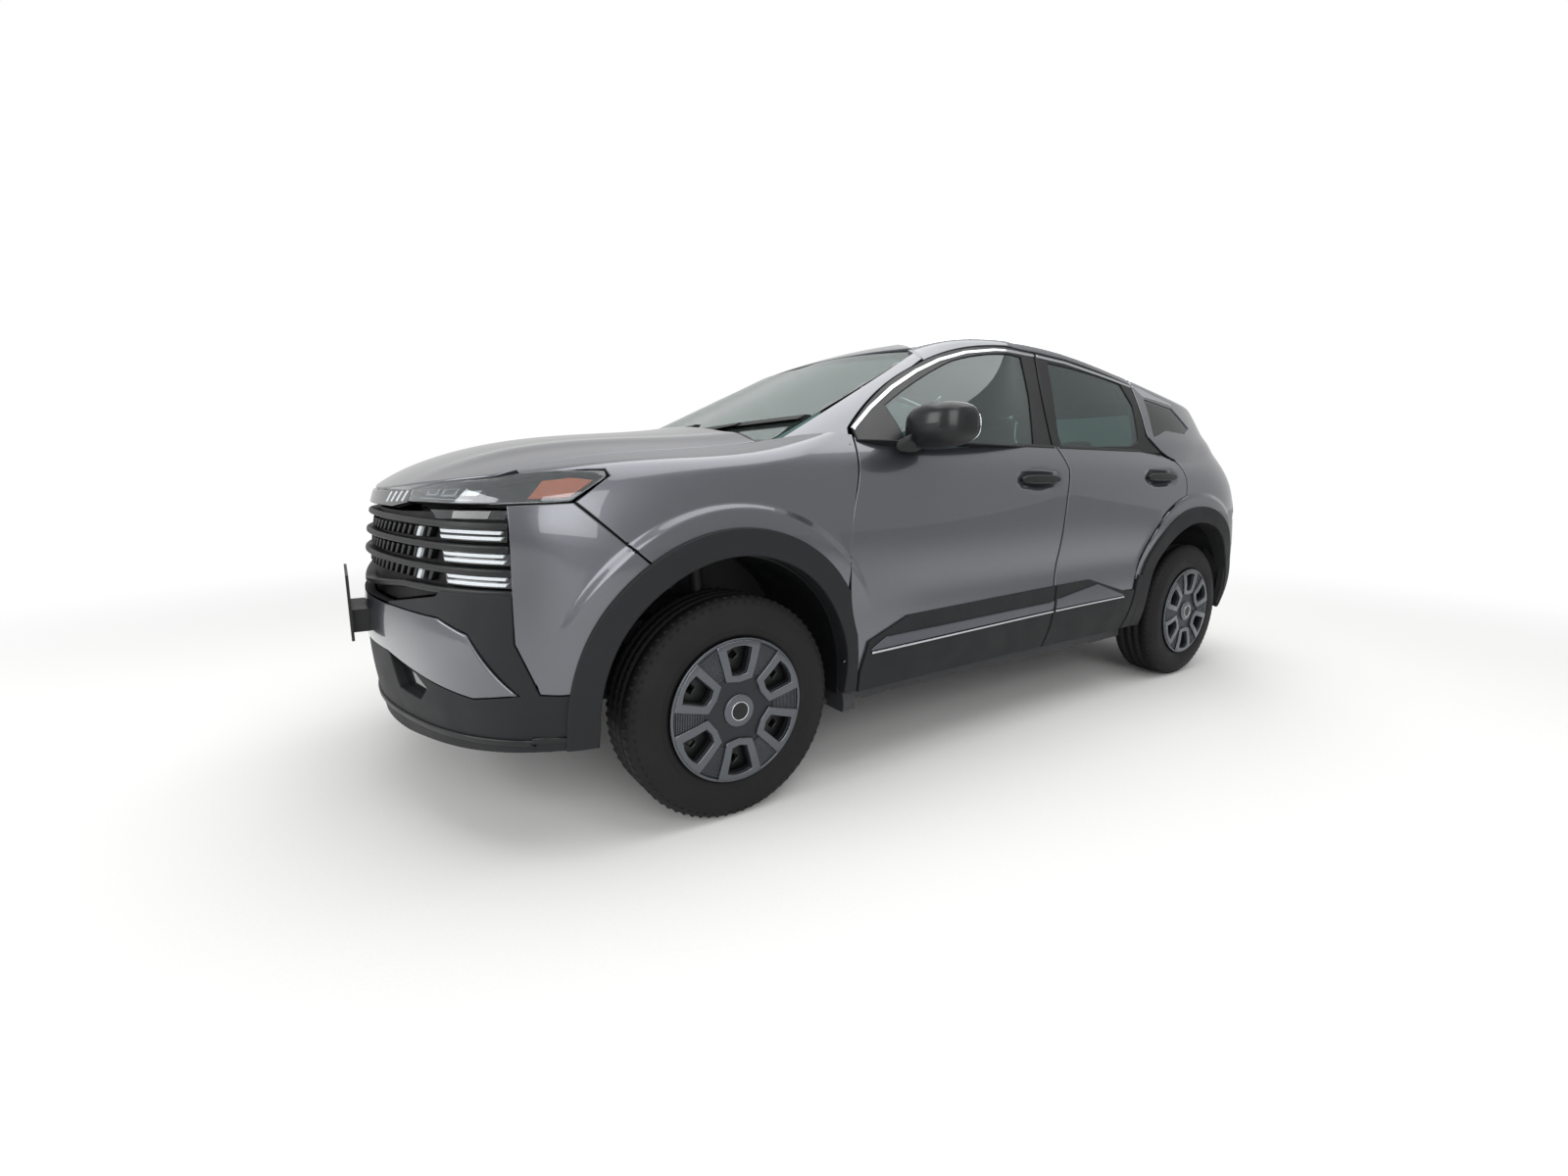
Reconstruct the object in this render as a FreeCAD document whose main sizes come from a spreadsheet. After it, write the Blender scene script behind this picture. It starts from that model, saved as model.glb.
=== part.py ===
import FreeCAD, Part
import math
import os
from FreeCAD import Placement, Rotation, Vector

# Crossover SUV, millimetres. Drawn with x = 0 at the front axle, +x to the tail, +y to the right-hand
# side, +z up from the ground, and every piece is then set back by half the vehicle's reach.

doc = FreeCAD.newDocument("crossover_suv")
sheet = doc.addObject("Spreadsheet::Sheet", "sizes")

# alias, millimetres or degrees, what it measures
SIZES = (
    ("wheelbase", 2657, "front axle to rear axle"),
    ("nose_reach", 870, "front axle to the bumper's face"),
    ("tail_reach", 839, "rear axle to the rear bumper's face"),
    ("plate_stand", 49, "number plate's face ahead of the bumper"),
    ("arch_half", 889, "half width of the body over the wheel arches"),
    ("waist_half", 862, "half width of the body at the middle door seam"),
    ("glass_foot_half", 800, "half width of the greenhouse at its foot"),
    ("roof_top", 1612, "height of the roof's highest point"),
    ("hood_top", 1184, "height of the hood's rear edge"),
    ("cladding_out", 11, "cladding's face beyond the body's skin"),
    ("door_wall", 75, "thickness of a door and of the walls round it"),
    ("frame_wall", 38, "thickness of the window frames and pillars"),
    ("roof_wall", 45, "thickness of the roof with its bows"),
    ("hood_wall", 38, "thickness of the hood with its frame"),
    ("glass_sunk", 5, "side glass behind the frame's face"),
    ("glass_wall", 5, "thickness of the glass"),
    ("panel_gap", 6, "open gap between a lid or door and the body"),
    ("trailing_gap", 10, "open gap behind a door's free edge"),
    ("frame_gap", 14, "open gap behind a window frame, which swings wider"),
    ("fit_gap", 0.3, "clearance of pieces that seat on each other"),
    ("door_hinge_x", 403, "front door's hinge line behind the front axle"),
    ("seam_x", 1586, "seam between the doors behind the front axle, at the shoulder"),
    ("tyre_radius", 336.5, "radius of a tyre"),
    ("tyre_width", 205, "width of a tyre"),
    ("rim_radius", 204, "radius of the rim's bead seat"),
    ("cover_radius", 219, "radius of the wheel cover"),
    ("track_half", 780, "middle of the car to the middle of a tyre"),
    ("arch_radius", 405, "radius of the wheel opening"),
    ("arch_rise", 50, "centre of the wheel opening above the axle"),
    ("arch_band", 80, "width of the cladding band round the opening"),
    ("hub_radius", 56, "radius of the hub"),
    ("disc_radius", 140, "radius of the brake disc"),
    ("axle_radius", 27, "radius of the stub axles"),
    ("floor_top", 262, "height of the cabin floor's top"),
    ("floor_wall", 24, "thickness of the floor"),
    ("boot_top", 560, "height of the load floor's top"),
    ("sill_height", 150, "height of the sill boxes"),
    ("damper_radius", 22, "radius of a front damper"),
    ("kingpin_top_y", 580, "steering axis from the middle, at the tower"),
    ("kingpin_top_z", 880, "height of the steering axis' upper end"),
    ("kingpin_foot_y", 700, "steering axis from the middle, at the ball joint"),
    ("kingpin_foot_z", 198, "height of the steering axis' lower end"),
    ("steering_radius", 185, "radius of the steering wheel"),
    ("steering_tilt", 24, "lean of the steering wheel's face, degrees"),
    ("seat_width", 500, "width of a front seat"),
    ("seat_height", 640, "front cushion's top above the ground"),
    ("pipe_radius", 27, "radius of the exhaust pipe"),
)
for row, (alias, value, note) in enumerate(SIZES, 1):
    sheet.set(f"A{row}", note)
    sheet.set(f"B{row}", str(value))
    sheet.setAlias(f"B{row}", alias)
doc.recompute()


class Sizes:
    """The sheet's values as plain numbers, one attribute for each alias."""

    def __init__(self):
        for alias, _, _ in SIZES:
            setattr(self, alias, float(sheet.get(alias)))


g = Sizes()
axle_z = g.tyre_radius
arch_z = axle_z + g.arch_rise
rear_x = g.wheelbase
tail_x = g.wheelbase + g.tail_reach
shift = (g.nose_reach + g.plate_stand - tail_x) / 2
HOME = Placement(Vector(shift, 0, 0), Rotation())
nodes = []


def keep(obj, label):
    """Name a sub-part, set it back into the vehicle's frame and list it for writing."""
    obj.Label = label
    obj.Placement = HOME.multiply(obj.Placement)
    nodes.append(obj)
    return obj


def feature(label, shape):
    """A sub-part whose shape is cut from the body's lofts."""
    obj = doc.addObject("Part::Feature", label)
    if shape.ShapeType == "Compound" and len(shape.Solids) == 1:
        shape = shape.Solids[0]
    obj.Shape = shape
    return keep(obj, label)


def flip(shape):
    """The same shape on the other side of the car."""
    return shape.mirror(Vector(0, 0, 0), Vector(0, 1, 0))


def pair(shape):
    """A shape and its twin on the other side, side by side."""
    return Part.makeCompound(shape.Solids + flip(shape).Solids)


def box(x0, x1, y0, y1, z0, z1):
    """A box by its faces."""
    return Part.makeBox(x1 - x0, y1 - y0, z1 - z0, Vector(x0, y0, z0))


def outline(points, put):
    """A closed wire through (a, b) points; a third entry "via" makes a point the middle of an arc."""
    edges = []
    ring = list(points) + [points[0]]
    step = 0
    while step < len(ring) - 1:
        start = put(*ring[step][:2])
        if len(ring[step + 1]) == 3:
            end = put(*ring[step + 2][:2])
            edges.append(Part.Arc(start, put(*ring[step + 1][:2]), end).toShape())
            step += 2
        else:
            edges.append(Part.makeLine(start, put(*ring[step + 1][:2])))
            step += 1
    return Part.Wire(edges)


def side_prism(points, y0, y1):
    """A prism across the car over an outline of (x, z) points."""
    wire = outline(points, lambda a, b: Vector(a, y0, b))
    return Part.Face(wire).extrude(Vector(0, y1 - y0, 0))


def front_prism(points, x0, x1):
    """A prism along the car over an outline of (y, z) points."""
    wire = outline(points, lambda a, b: Vector(x0, a, b))
    return Part.Face(wire).extrude(Vector(x1 - x0, 0, 0))


def plan_prism(points, z0, z1):
    """An upright prism over an outline of (x, y) points."""
    wire = outline(points, lambda a, b: Vector(a, b, z0))
    return Part.Face(wire).extrude(Vector(0, 0, z1 - z0))


def barrel(radius, x, z, y0, y1):
    """A cylinder across the car."""
    return Part.makeCylinder(radius, y1 - y0, Vector(x, y0, z), Vector(0, 1, 0))


def rod(radius, start, end):
    """A round rod between two points."""
    start = Vector(*start)
    run = Vector(*end).sub(start)
    return Part.makeCylinder(radius, run.Length, start, run)


# Body below the windows, as level sections: z, nose, corner x and y, shoulder x and y, half widths at
# the front arch, the hinge, the seam, the haunch and the rear arch, then behind the rear axle the
# quarter x and y, the tail corner x and y, and the tail. Half widths are given as steps inwards from
# arch_half, or from waist_half at the seam; the nose and tail as steps from their reach.
LOWER = (
    (230, 32, -560, 129, -400, 59, 39, 54, 62, 74, 39, 420, 69, 620, 229, 99),
    (400, 6, -590, 99, -405, 17, 4, 13, 6, 21, 4, 433, 27, 670, 189, 29),
    (600, 0, -592, 89, -405, 9, 1, 9, 6, 19, 1, 438, 19, 700, 169, 0),
    (800, 14, -588, 91, -400, 11, 0, 7, 0, 13, 0, 433, 23, 680, 189, 49),
    (960, 48, -575, 103, -370, 27, 11, 17, 0, 17, 9, 410, 39, 630, 209, 124),
    (1050, 80, -520, 134, -320, 61, 31, 35, 10, 31, 29, 385, 71, 590, 229, 174),
    (1145, 105, -470, 174, -270, 119, 93, 96, 65, 91, 101, 340, 124, 540, 269, 234),
    (1290, 170, -340, 254, -180, 219, 183, 196, 165, 191, 201, 260, 220, 450, 349, 344),
)
HINGE_X = g.door_hinge_x + 47
HAUNCH_X = rear_x - 400


def ring_wire(right, z):
    """A level section from its right-hand half: a list of arcs, each given by three (x, y) points."""
    edges = []
    for arc in right:
        edges.append(Part.Arc(*[Vector(x, y, z) for x, y in arc]).toShape())
    for arc in reversed(right[1:-1]):
        edges.append(Part.Arc(*[Vector(x, -y, z) for x, y in reversed(arc)]).toShape())
    return Part.Wire(edges)


def corner(start, end, bulge):
    """A corner's arc: its middle stands off the chord by a share of the chord's length."""
    dx, dy = end[0] - start[0], end[1] - start[1]
    return (start, ((start[0] + end[0]) / 2 - dy * bulge, (start[1] + end[1]) / 2 + dx * bulge), end)


def lower_section(row, inset):
    """One level section of the lower body, drawn in by inset all round."""
    z, nose, cx, cy, ex, ey, ya, yd, ys, yh, yr, qx, qy, tx, ty, tail = row
    wide = g.arch_half
    c = (cx + 0.62 * inset, wide - cy - 0.78 * inset)
    e = (ex + 0.2 * inset, wide - ey - inset)
    d = (HINGE_X, wide - yd - inset)
    haunch = (HAUNCH_X, wide - yh - inset)
    q = (rear_x + qx - 0.2 * inset, wide - qy - inset)
    t = (rear_x + tx - 0.75 * inset, wide - ty - 0.66 * inset)
    right = [
        ((c[0], -c[1]), (-g.nose_reach + nose + inset, 0), c),
        corner(c, e, 0.07),
        (e, (0, wide - ya - inset), d),
        (d, (g.seam_x, g.waist_half - ys - inset), haunch),
        (haunch, (rear_x, wide - yr - inset), q),
        corner(q, t, 0.10),
        (t, (tail_x - tail - inset, 0), (t[0], -t[1])),
    ]
    return ring_wire(right, z)


def lower_body(inset, low=0):
    """The body below the windows, drawn in by inset; low stretches its foot downwards."""
    wires = [lower_section(row, inset) for row in LOWER]
    if low:
        wires[0].translate(Vector(0, 0, -low))
    return Part.makeLoft(wires, True, False)


# Greenhouse, as level sections: z, screen's middle x, screen's edge x and y, pillar's x and y, half
# width at the seam, and behind the rear axle the quarter x and y, the corner x and y, and the back.
# The half widths are steps inwards from glass_foot_half.
GREEN = (
    (1095, 105, 175, 95, 300, 12, 0, 290, 14, 530, 180, 620),
    (1300, 513, 603, 160, 760, 84, 74, 243, 92, 430, 232, 512),
    (1500, 913, 1005, 228, 1130, 178, 155, 190, 196, 340, 300, 403),
    (1650, 1213, 1290, 280, 1385, 245, 222, 150, 266, 275, 352, 330),
)


def green_section(row, inset):
    """One level section of the greenhouse, drawn in by inset all round."""
    z, screen, wx, wy, px, py, ys, qx, qy, tx, ty, back = row
    wide = g.glass_foot_half
    lean = inset * 2.0
    w = (wx + lean, wide - wy - 0.5 * inset)
    p = (px + inset, wide - py - inset)
    q = (rear_x + qx, wide - qy - inset)
    t = (rear_x + tx - 0.8 * inset, wide - ty - 0.7 * inset)
    right = [
        ((w[0], -w[1]), (screen + lean, 0), w),
        corner(w, p, 0.06),
        (p, (g.seam_x, wide - ys - inset), q),
        corner(q, t, 0.12),
        (t, (rear_x + back - inset, 0), (t[0], -t[1])),
    ]
    return ring_wire(right, z)


def greenhouse(inset):
    """The body above the belt line, open-ended upwards until the roof closes it."""
    return Part.makeLoft([green_section(row, inset) for row in GREEN], True, False)


# Crowned lids: x, step of the middle above the lid's top, drop at CROWN_HALF from the middle
CROWN_HALF = 800
CROWN_REACH = 960
HOOD = (
    (-930, -330, 80), (-812, -216, 82), (-647, -124, 84), (-348, -50, 88),
    (127, 0, 92), (330, 40, 92), (560, 100, 92),
)
ROOF = (
    (60, -310, 60), (500, -222, 60), (860, -126, 60), (1100, -46, 62), (1400, -3, 70), (1800, 0, 86),
    (2250, -36, 130), (2700, -88, 165), (3120, -148, 170), (3420, -200, 170),
)


def crown(table, top, foot):
    """A solid under a surface crowned across the car, from arcs at stations along it."""
    wires = []
    for x, step, drop in table:
        high = top + step
        radius = (CROWN_HALF ** 2 + drop ** 2) / (2 * drop)
        edge = high - radius + math.sqrt(radius ** 2 - CROWN_REACH ** 2)
        points = (
            (-CROWN_REACH, foot), (-CROWN_REACH, edge), (0, high, "via"),
            (CROWN_REACH, edge), (CROWN_REACH, foot),
        )
        wires.append(outline(points, lambda a, b, x=x: Vector(x, a, b)))
    return Part.makeLoft(wires, True, False)


BELT = 1145
left_half = box(-1200, 3800, -1200, 0, 100, 1800)
hood_crown = crown(HOOD, g.hood_top, 150)
roof_crown = crown(ROOF, g.roof_top, 150)
green_out = greenhouse(0).common(roof_crown)
lower_out = lower_body(0)
hood_out = lower_out.common(hood_crown)
front_out = hood_out.cut(box(190, 600, -1200, 1200, BELT, 1400))
mid_out = lower_out.common(box(500, 3800, -1200, 1200, 100, BELT))
outer = front_out.fuse([mid_out, green_out]).common(left_half)
green_in = greenhouse(g.frame_wall).common(roof_crown.translated(Vector(0, 0, -g.roof_wall)))
lower_in = lower_body(g.door_wall, 60)
behind = box(500, 3800, -1200, 1200, 100, BELT)
front_in = lower_in.common(hood_crown.translated(Vector(0, 0, -g.hood_wall)))
wall = outer.cut([front_in, lower_in.common(behind), green_in])
lower_seat = lower_body(g.door_wall + g.fit_gap, 60)
green_seat = greenhouse(g.frame_wall + g.fit_gap)
roof_seat = roof_crown.translated(Vector(0, 0, -g.roof_wall - g.fit_gap))
print("outer", outer.isValid(), outer.Volume / 1e9, "wall", wall.isValid(), wall.Volume / 1e9)

gap = g.panel_gap
fit = g.fit_gap
LINER = 5
HOUSE_INNER = 468
REAR_INNER = 480

free = (g.trailing_gap - gap) / 2
free_top = (g.frame_gap - gap) / 2

# Outlines seen from the side, as (x, z); the rear ones are measured from the rear axle.
FRONT_DOOR = (
    (467, 300), (446, 500), (406, 705, "via"), (439, 970), (487, 1172), (680, 1306, "via"),
    (886, 1412), (1168, 1509, "via"), (1480, 1537), (g.seam_x + 24 - free_top, 1537),
    (g.seam_x - 16 - free_top, 1350, "via"), (g.seam_x - 27 - free_top, 1150),
    (g.seam_x + 3 - free, 1045), (g.seam_x - 19 - free, 800, "via"), (g.seam_x - 82 - free, 300),
)


def rear_door(low, top):
    """The rear door's outline; low and top move its free edge back, below and above the belt."""
    return (
        (g.seam_x - 82 + free, 300), (g.seam_x - 19 + free, 800, "via"), (g.seam_x + 3 + free, 1045),
        (g.seam_x - 27 + free_top, 1150), (g.seam_x - 16 + free_top, 1350, "via"),
        (g.seam_x + 24 + free_top, 1537 + top / 2), (g.seam_x + 234, 1527 + top / 2),
        (rear_x - 577, 1491 + top / 2, "via"), (rear_x - 352 + top, 1447),
        (rear_x - 377 + top, 1205), (rear_x - 315 + low, 1152 + low, "via"), (rear_x - 177 + low, 1094 + low),
        (rear_x - 124 + low, 1015, "via"), (rear_x - 114 + low, 927), (rear_x - 364 + low, 790, "via"),
        (rear_x - 500 + low, 540), (rear_x - 560 + low, 300),
    )


REAR_DOOR = rear_door(-free, -free_top)
REAR_HOLE = rear_door(free, free_top)
FRONT_WINDOW = (
    (530, 1150), (575, 1133), (g.seam_x - 168, 1135), (g.seam_x - 112, 1342), (g.seam_x - 88, 1503),
    (1280, 1494, "via"), (1069, 1447), (800, 1326, "via"), (560, 1190),
)
REAR_WINDOW = (
    (g.seam_x + 99, 1499), (g.seam_x + 37, 1187), (g.seam_x + 46, 1139), (rear_x - 514, 1155),
    (rear_x - 449, 1182), (rear_x - 410, 1347), (rear_x - 443, 1447), (rear_x - 690, 1481, "via"),
)
QUARTER_WINDOW = (
    (rear_x - 282, 1388), (rear_x - 322, 1200), (rear_x - 187, 1238), (rear_x + 13, 1229),
    (rear_x + 88, 1259), (rear_x - 25, 1356),
)
SCREEN_LOW = 1125
# Seen from the front, as (y, z)
SCREEN = ((-712, 1098), (712, 1098), (570, 1487), (0, 1520, "via"), (-570, 1487))
HOOD_SEAM = ((-900, 1036), (0, 966, "via"), (900, 1036), (900, 100), (-900, 100))
GRILLE = (
    (-800, 726), (-612, 724), (-590, 706), (-300, 655), (300, 655), (590, 706), (612, 724),
    (800, 726), (800, 936), (300, 918), (-300, 918), (-800, 936),
)
INSERT = (
    (-800, 462), (-700, 446), (-300, 505), (300, 505), (700, 446), (800, 462), (700, 616),
    (600, 647), (-600, 647), (-700, 616),
)
LAMP = ((-960, 922), (-700, 938), (-587, 944), (-450, 950), (-350, 1015), (-358, 1028), (-560, 1022),
        (-620, 1090), (-960, 1090))
CORNER = ((-587, 944), (-590, 600), (-543, 469), (-497, 465), (-285, 465), (-285, 805), (-440, 950))


def grown(points, put, by):
    """The outline's wire, moved outwards by a distance, or inwards by a negative one."""
    return outline(points, put).makeOffset2D(by, 2)


def side_cut(points, by, y0=-1200, y1=0):
    """A prism across the car over a grown or shrunk outline."""
    wire = grown(points, lambda a, b: Vector(a, y0, b), by)
    return Part.Face(wire).extrude(Vector(0, y1 - y0, 0))


def front_cut(points, by, x0=-1200, x1=3800):
    """A prism along the car over a grown or shrunk outline."""
    wire = grown(points, lambda a, b: Vector(x0, a, b), by)
    return Part.Face(wire).extrude(Vector(x1 - x0, 0, 0))


def opening(x, radius, y0, y1):
    """The wheel opening's prism: a round top on straight legs."""
    points = ((x - radius, 60), (x - radius, arch_z), (x, arch_z + radius, "via"),
              (x + radius, arch_z), (x + radius, 60))
    return side_prism(points, y0, y1)


def solids(shape, least=20000):
    """Only the solids of a shape that are larger than least cubic millimetres, as one compound."""
    kept = [solid for solid in shape.Solids if solid.Volume > least]
    return Part.makeCompound(kept)


glass_shell = greenhouse(g.glass_sunk).common(roof_crown).cut(greenhouse(g.glass_sunk + g.glass_wall))
skin_fit = lower_body(-fit)
clad_shell = lower_body(-g.cladding_out).cut(skin_fit).common(left_half)
front_opening = opening(0, g.arch_radius, -1200, -HOUSE_INNER)
rear_opening = opening(rear_x, g.arch_radius, -1200, -REAR_INNER)
screen_cut = front_cut(SCREEN, 0, -200, 1300)

# The tailgate's edge, as (height, half width at the skin, skin's x behind the rear axle)
TAILGATE = ((690, 600, 832), (960, 612, 715), (1095, 612, 622), (1300, 560, 513), (1420, 515, 450),
            (1700, 515, 330))
TAILGATE_DRAFT = 0.45
LID_X = rear_x + 290


def tailgate_prism(by, low=0):
    """The tailgate's drafted block, wider to the rear, with its edges moved out by a distance."""
    wires = []
    for x in (LID_X - by, tail_x + 150):
        right = [(half + by + TAILGATE_DRAFT * (x - rear_x - skin_x), z)
                 for z, half, skin_x in TAILGATE]
        right[0] = (right[0][0], right[0][1] - by)
        points = [(y, z) for y, z in right] + [(-y, z) for y, z in reversed(right)]
        wires.append(outline(points, lambda a, b, x=x: Vector(x, a, b)))
    return Part.makeLoft(wires, True, True)


lid_block = tailgate_prism(-gap / 2)
lid_hole = tailgate_prism(gap / 2)
CANT_HALF = 530
ROOF_HALF = CANT_HALF - 5
roof_block = front_prism(((-ROOF_HALF, 1390), (-ROOF_HALF, 1800), (ROOF_HALF, 1800), (ROOF_HALF, 1390)),
                         800, LID_X - gap)
rear_low = side_prism(((rear_x + 380, 100), (rear_x + 380, 560), (rear_x + 560, 690), (tail_x + 200, 690),
                       (tail_x + 200, 100)), -1200, 0)
lamp_side = front_prism(((-612, 800), (-900, 800), (-900, 1010), (-612, 1030)), rear_x + 480, tail_x + 100)

# Body side: pillars, cant rail and quarter, with the wheel opening, the doors and the windows cut
side = wall.common(box(300 + fit, 3800, -1200, 0, 250, 1800)).cut([
    side_cut(FRONT_DOOR, gap / 2), side_cut(REAR_HOLE, gap / 2), screen_cut, lid_hole, rear_low,
    rear_opening, lamp_side, side_cut(QUARTER_WINDOW, 0),
    front_prism(((-CANT_HALF, 1380), (-CANT_HALF, 1800), (10, 1800), (10, 1380)), 800, LID_X),
    side_prism(((200, 200), (200, 1120), (484, 1120), (436, 970), (395, 700), (470, 200)), -1200, 0),
    box(200, g.seam_x + 700, -1200, 0, 200, 306),
])
side = solids(side, 1e6)
FLAP = (rear_x + 70, rear_x + 235, 888, 1013)
FLAP_DEPTH = 50
FLAP_WALL = 8
well = box(FLAP[0], FLAP[1], g.arch_half - FLAP_DEPTH, 1200, FLAP[2], FLAP[3])
right_out = flip(outer)
flap = right_out.common(box(FLAP[0] + gap, FLAP[1] - gap, 600, 1200, FLAP[2] + gap, FLAP[3] - gap)).cut(
    right_out.translated(Vector(0, -FLAP_WALL, 0)))
flap_hinge = box(FLAP[0] + gap, FLAP[0] + 3 * gap, g.arch_half - FLAP_DEPTH - 5, 1200, FLAP[2] + 40,
                 FLAP[3] - 40).common(right_out.translated(Vector(0, -FLAP_WALL - fit, 0)))
right_side = flip(side).cut(well).fuse(flap_hinge).removeSplitter()
print("side", [round(s.Volume / 1e6, 2) for s in side.Solids], side.isValid())
feature("body_sides", Part.makeCompound(side.Solids + right_side.Solids))
feature("fuel_flap", solids(flap))

roof_wall = green_out.cut(green_in)
roof = solids(roof_wall.common(roof_block).cut(screen_cut))
print("roof", [round(s.Volume / 1e6, 2) for s in roof.Solids])
feature("roof_panel", roof)

# Front end
FENDER = ((-560, 1008), (-370, 1008), (-465, 940), (-285, 800), (-285, 250), (g.door_hinge_x - gap, 250),
          (g.door_hinge_x - gap, 705), (433, 975), (480, 1119 - fit), (300, 1119 - fit), (300, 1300),
          (-560, 1300))
HOOD_HALF = 711
fender = wall.common(side_prism(FENDER, -1200, -HOOD_HALF - gap))
fender = solids(fender.cut([front_opening, side_cut(LAMP, fit), side_cut(CORNER, fit),
                            side_cut(FRONT_DOOR, gap / 2), green_out]))
print("fender", [round(s.Volume / 1e6, 2) for s in fender.Solids])
feature("front_fenders", pair(fender))

hood_plan = plan_prism(((-1000, -HOOD_HALF), (165, -HOOD_HALF), (185, 0, "via"), (165, HOOD_HALF),
                        (-1000, HOOD_HALF)), 800, 1400)
seam_block = front_cut(HOOD_SEAM, 0, -1000, -300)
hood = hood_out.common(hood_plan).cut([hood_out.translated(Vector(0, 0, -g.hood_wall)), seam_block])
hood = solids(hood)
print("hood", [round(s.Volume / 1e6, 2) for s in hood.Solids])
feature("hood", hood)

nose = wall.common(box(-1200, -285, -1200, 0, 200, 1100)).common(
    front_cut(HOOD_SEAM, -gap, -1200, -200))
lip = front_prism(((-900, 150), (-900, 318), (-800, 312), (0, 250, "via"), (800, 312), (900, 318),
                   (900, 150)), -1200, -200)
lamp_hole = side_cut(LAMP, fit, -1200, -300)
corner_cut = side_cut(CORNER, 0)
insert_cut = front_cut(INSERT, 0, -1200, -560)
grille_cut = front_cut(GRILLE, 0, -1200, -560)
nose = nose.cut([front_opening, lip])
painted = nose.common(corner_cut).cut([lamp_hole, grille_cut])
insert = nose.common(insert_cut)
mask = nose.cut([lamp_hole, side_cut(CORNER, fit), front_cut(INSERT, fit, -1200, -560), grille_cut,
                 side_cut(FENDER, fit, -1200, -HOOD_HALF)])
lamp = nose.common(side_cut(LAMP, 0, -1200, -300)).cut(front_cut(GRILLE, fit, -1200, -560))
for label, piece in (("painted", painted), ("insert", insert), ("mask", mask), ("lamp", lamp)):
    print(label, [round(s.Volume / 1e6, 2) for s in piece.Solids])
feature("front_bumper", Part.makeCompound(
    pair(solids(painted)).Solids + insert.fuse(flip(insert)).removeSplitter().Solids))
feature("bumper_mask", solids(mask.fuse(flip(mask)).removeSplitter()))
feature("headlamps", pair(solids(lamp)))

# Grille: a set-back plate with bars that follow the nose
grille_block = front_cut(GRILLE, -fit, -1200, -560 - fit)
bars = [box(-1200, -500, -1200, 1200, z, z + 26) for z in range(745, 920, 44)]
slats = lower_body(12).common(grille_block).common(bars)
grille = slats.fuse(lower_body(34).common(grille_block)).cut(lower_body(40)).removeSplitter()
grille = solids(grille)
print("grille", [round(s.Volume / 1e6, 2) for s in grille.Solids], grille.isValid())
feature("grille", grille)

# Tail end
gate = wall.fuse(flip(wall)).common(lid_block)
glass_hole = front_prism(((-520, 1105), (520, 1105), (455, 1395), (-455, 1395)), rear_x + 350, tail_x)
gate = solids(gate.cut([glass_hole, box(tail_x - 700, tail_x + 100, -1200, 1200, 100, 690 + gap)]))
print("gate", [round(s.Volume / 1e6, 2) for s in gate.Solids], gate.isValid())
feature("tailgate", gate)
gate_glass = glass_shell.common(front_prism(((-520 + fit, 1105 + fit), (520 - fit, 1105 + fit),
                                             (455 - fit, 1395 - fit), (-455 + fit, 1395 - fit)),
                                            rear_x + 350, tail_x))
feature("tailgate_glass", solids(gate_glass))
bumper = wall.common(rear_low).cut([rear_opening, lid_hole])
bumper = bumper.fuse(flip(bumper)).removeSplitter()
feature("rear_bumper", solids(bumper))
tail_lamp = wall.common(front_prism(((-612 - fit, 800 + fit), (-900, 800 + fit), (-900, 1010 - fit),
                                     (-612 - fit, 1030 - fit)), rear_x + 480 + fit, tail_x + 100))
tail_lamp = tail_lamp.cut(lid_hole)
feature("tail_lamps", pair(solids(tail_lamp)))

# Glass
screen = glass_shell.common(front_cut(SCREEN, -fit, -200, 1300)).cut(
    box(-200, 1300, -900, 900, 900, SCREEN_LOW))
feature("windshield", solids(screen))
feature("quarter_windows", pair(solids(glass_shell.common(side_cut(QUARTER_WINDOW, -fit)))))

# Doors: the whole wall inside the seams, with the window cut and the hinge line ahead of it
for name, seams, window in (("front", FRONT_DOOR, FRONT_WINDOW), ("rear", REAR_DOOR, REAR_WINDOW)):
    door = wall.common(side_cut(seams, -gap / 2, -1200, -CANT_HALF)).cut([
        side_cut(window, 0), opening(rear_x, g.arch_radius + g.arch_band + 12, -1200, 0)])
    door = solids(door)
    print(name, [round(s.Volume / 1e6, 2) for s in door.Solids], door.isValid())
    glass = solids(glass_shell.common(side_cut(window, -fit)))
    trim_top = side_prism(((430, 290), (490, 477), (673, 545), (1793, 572), (rear_x - 596, 499),
                           (rear_x - 520, 290)), -1200, 0)
    trim = clad_shell.common(side_cut(seams, -gap / 2)).common(trim_top).cut(
        opening(rear_x, g.arch_radius + g.arch_band + 12, -1200, 0))
    handle_x = 1390 if name == "front" else rear_x - 350
    skin_y = g.waist_half + (8 if name == "front" else 12)
    handle = Part.makeBox(230, 50, 34, Vector(handle_x - 115, -skin_y - 20, 988))
    handle = handle.makeFillet(9, handle.Edges).cut(skin_fit)
    trim = Part.makeCompound(solids(trim).Solids + handle.Solids)
    if name == "front":
        mirror = Part.makeBox(150, 230, 128, Vector(640, -1062, 1096))
        mirror = mirror.makeFillet(38, mirror.Edges)
        arm = Part.makeBox(90, 150, 30, Vector(655, -950, 1078))
        trim = Part.makeCompound(trim.Solids + mirror.fuse(arm).cut([skin_fit, greenhouse(-fit)]).Solids)
    for side_name, turn in (("left", lambda s: s), ("right", flip)):
        feature(f"{name}_door_{side_name}", turn(door))
        feature(f"{name}_door_glass_{side_name}", turn(glass))
        feature(f"{name}_door_trim_{side_name}", turn(trim))

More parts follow.
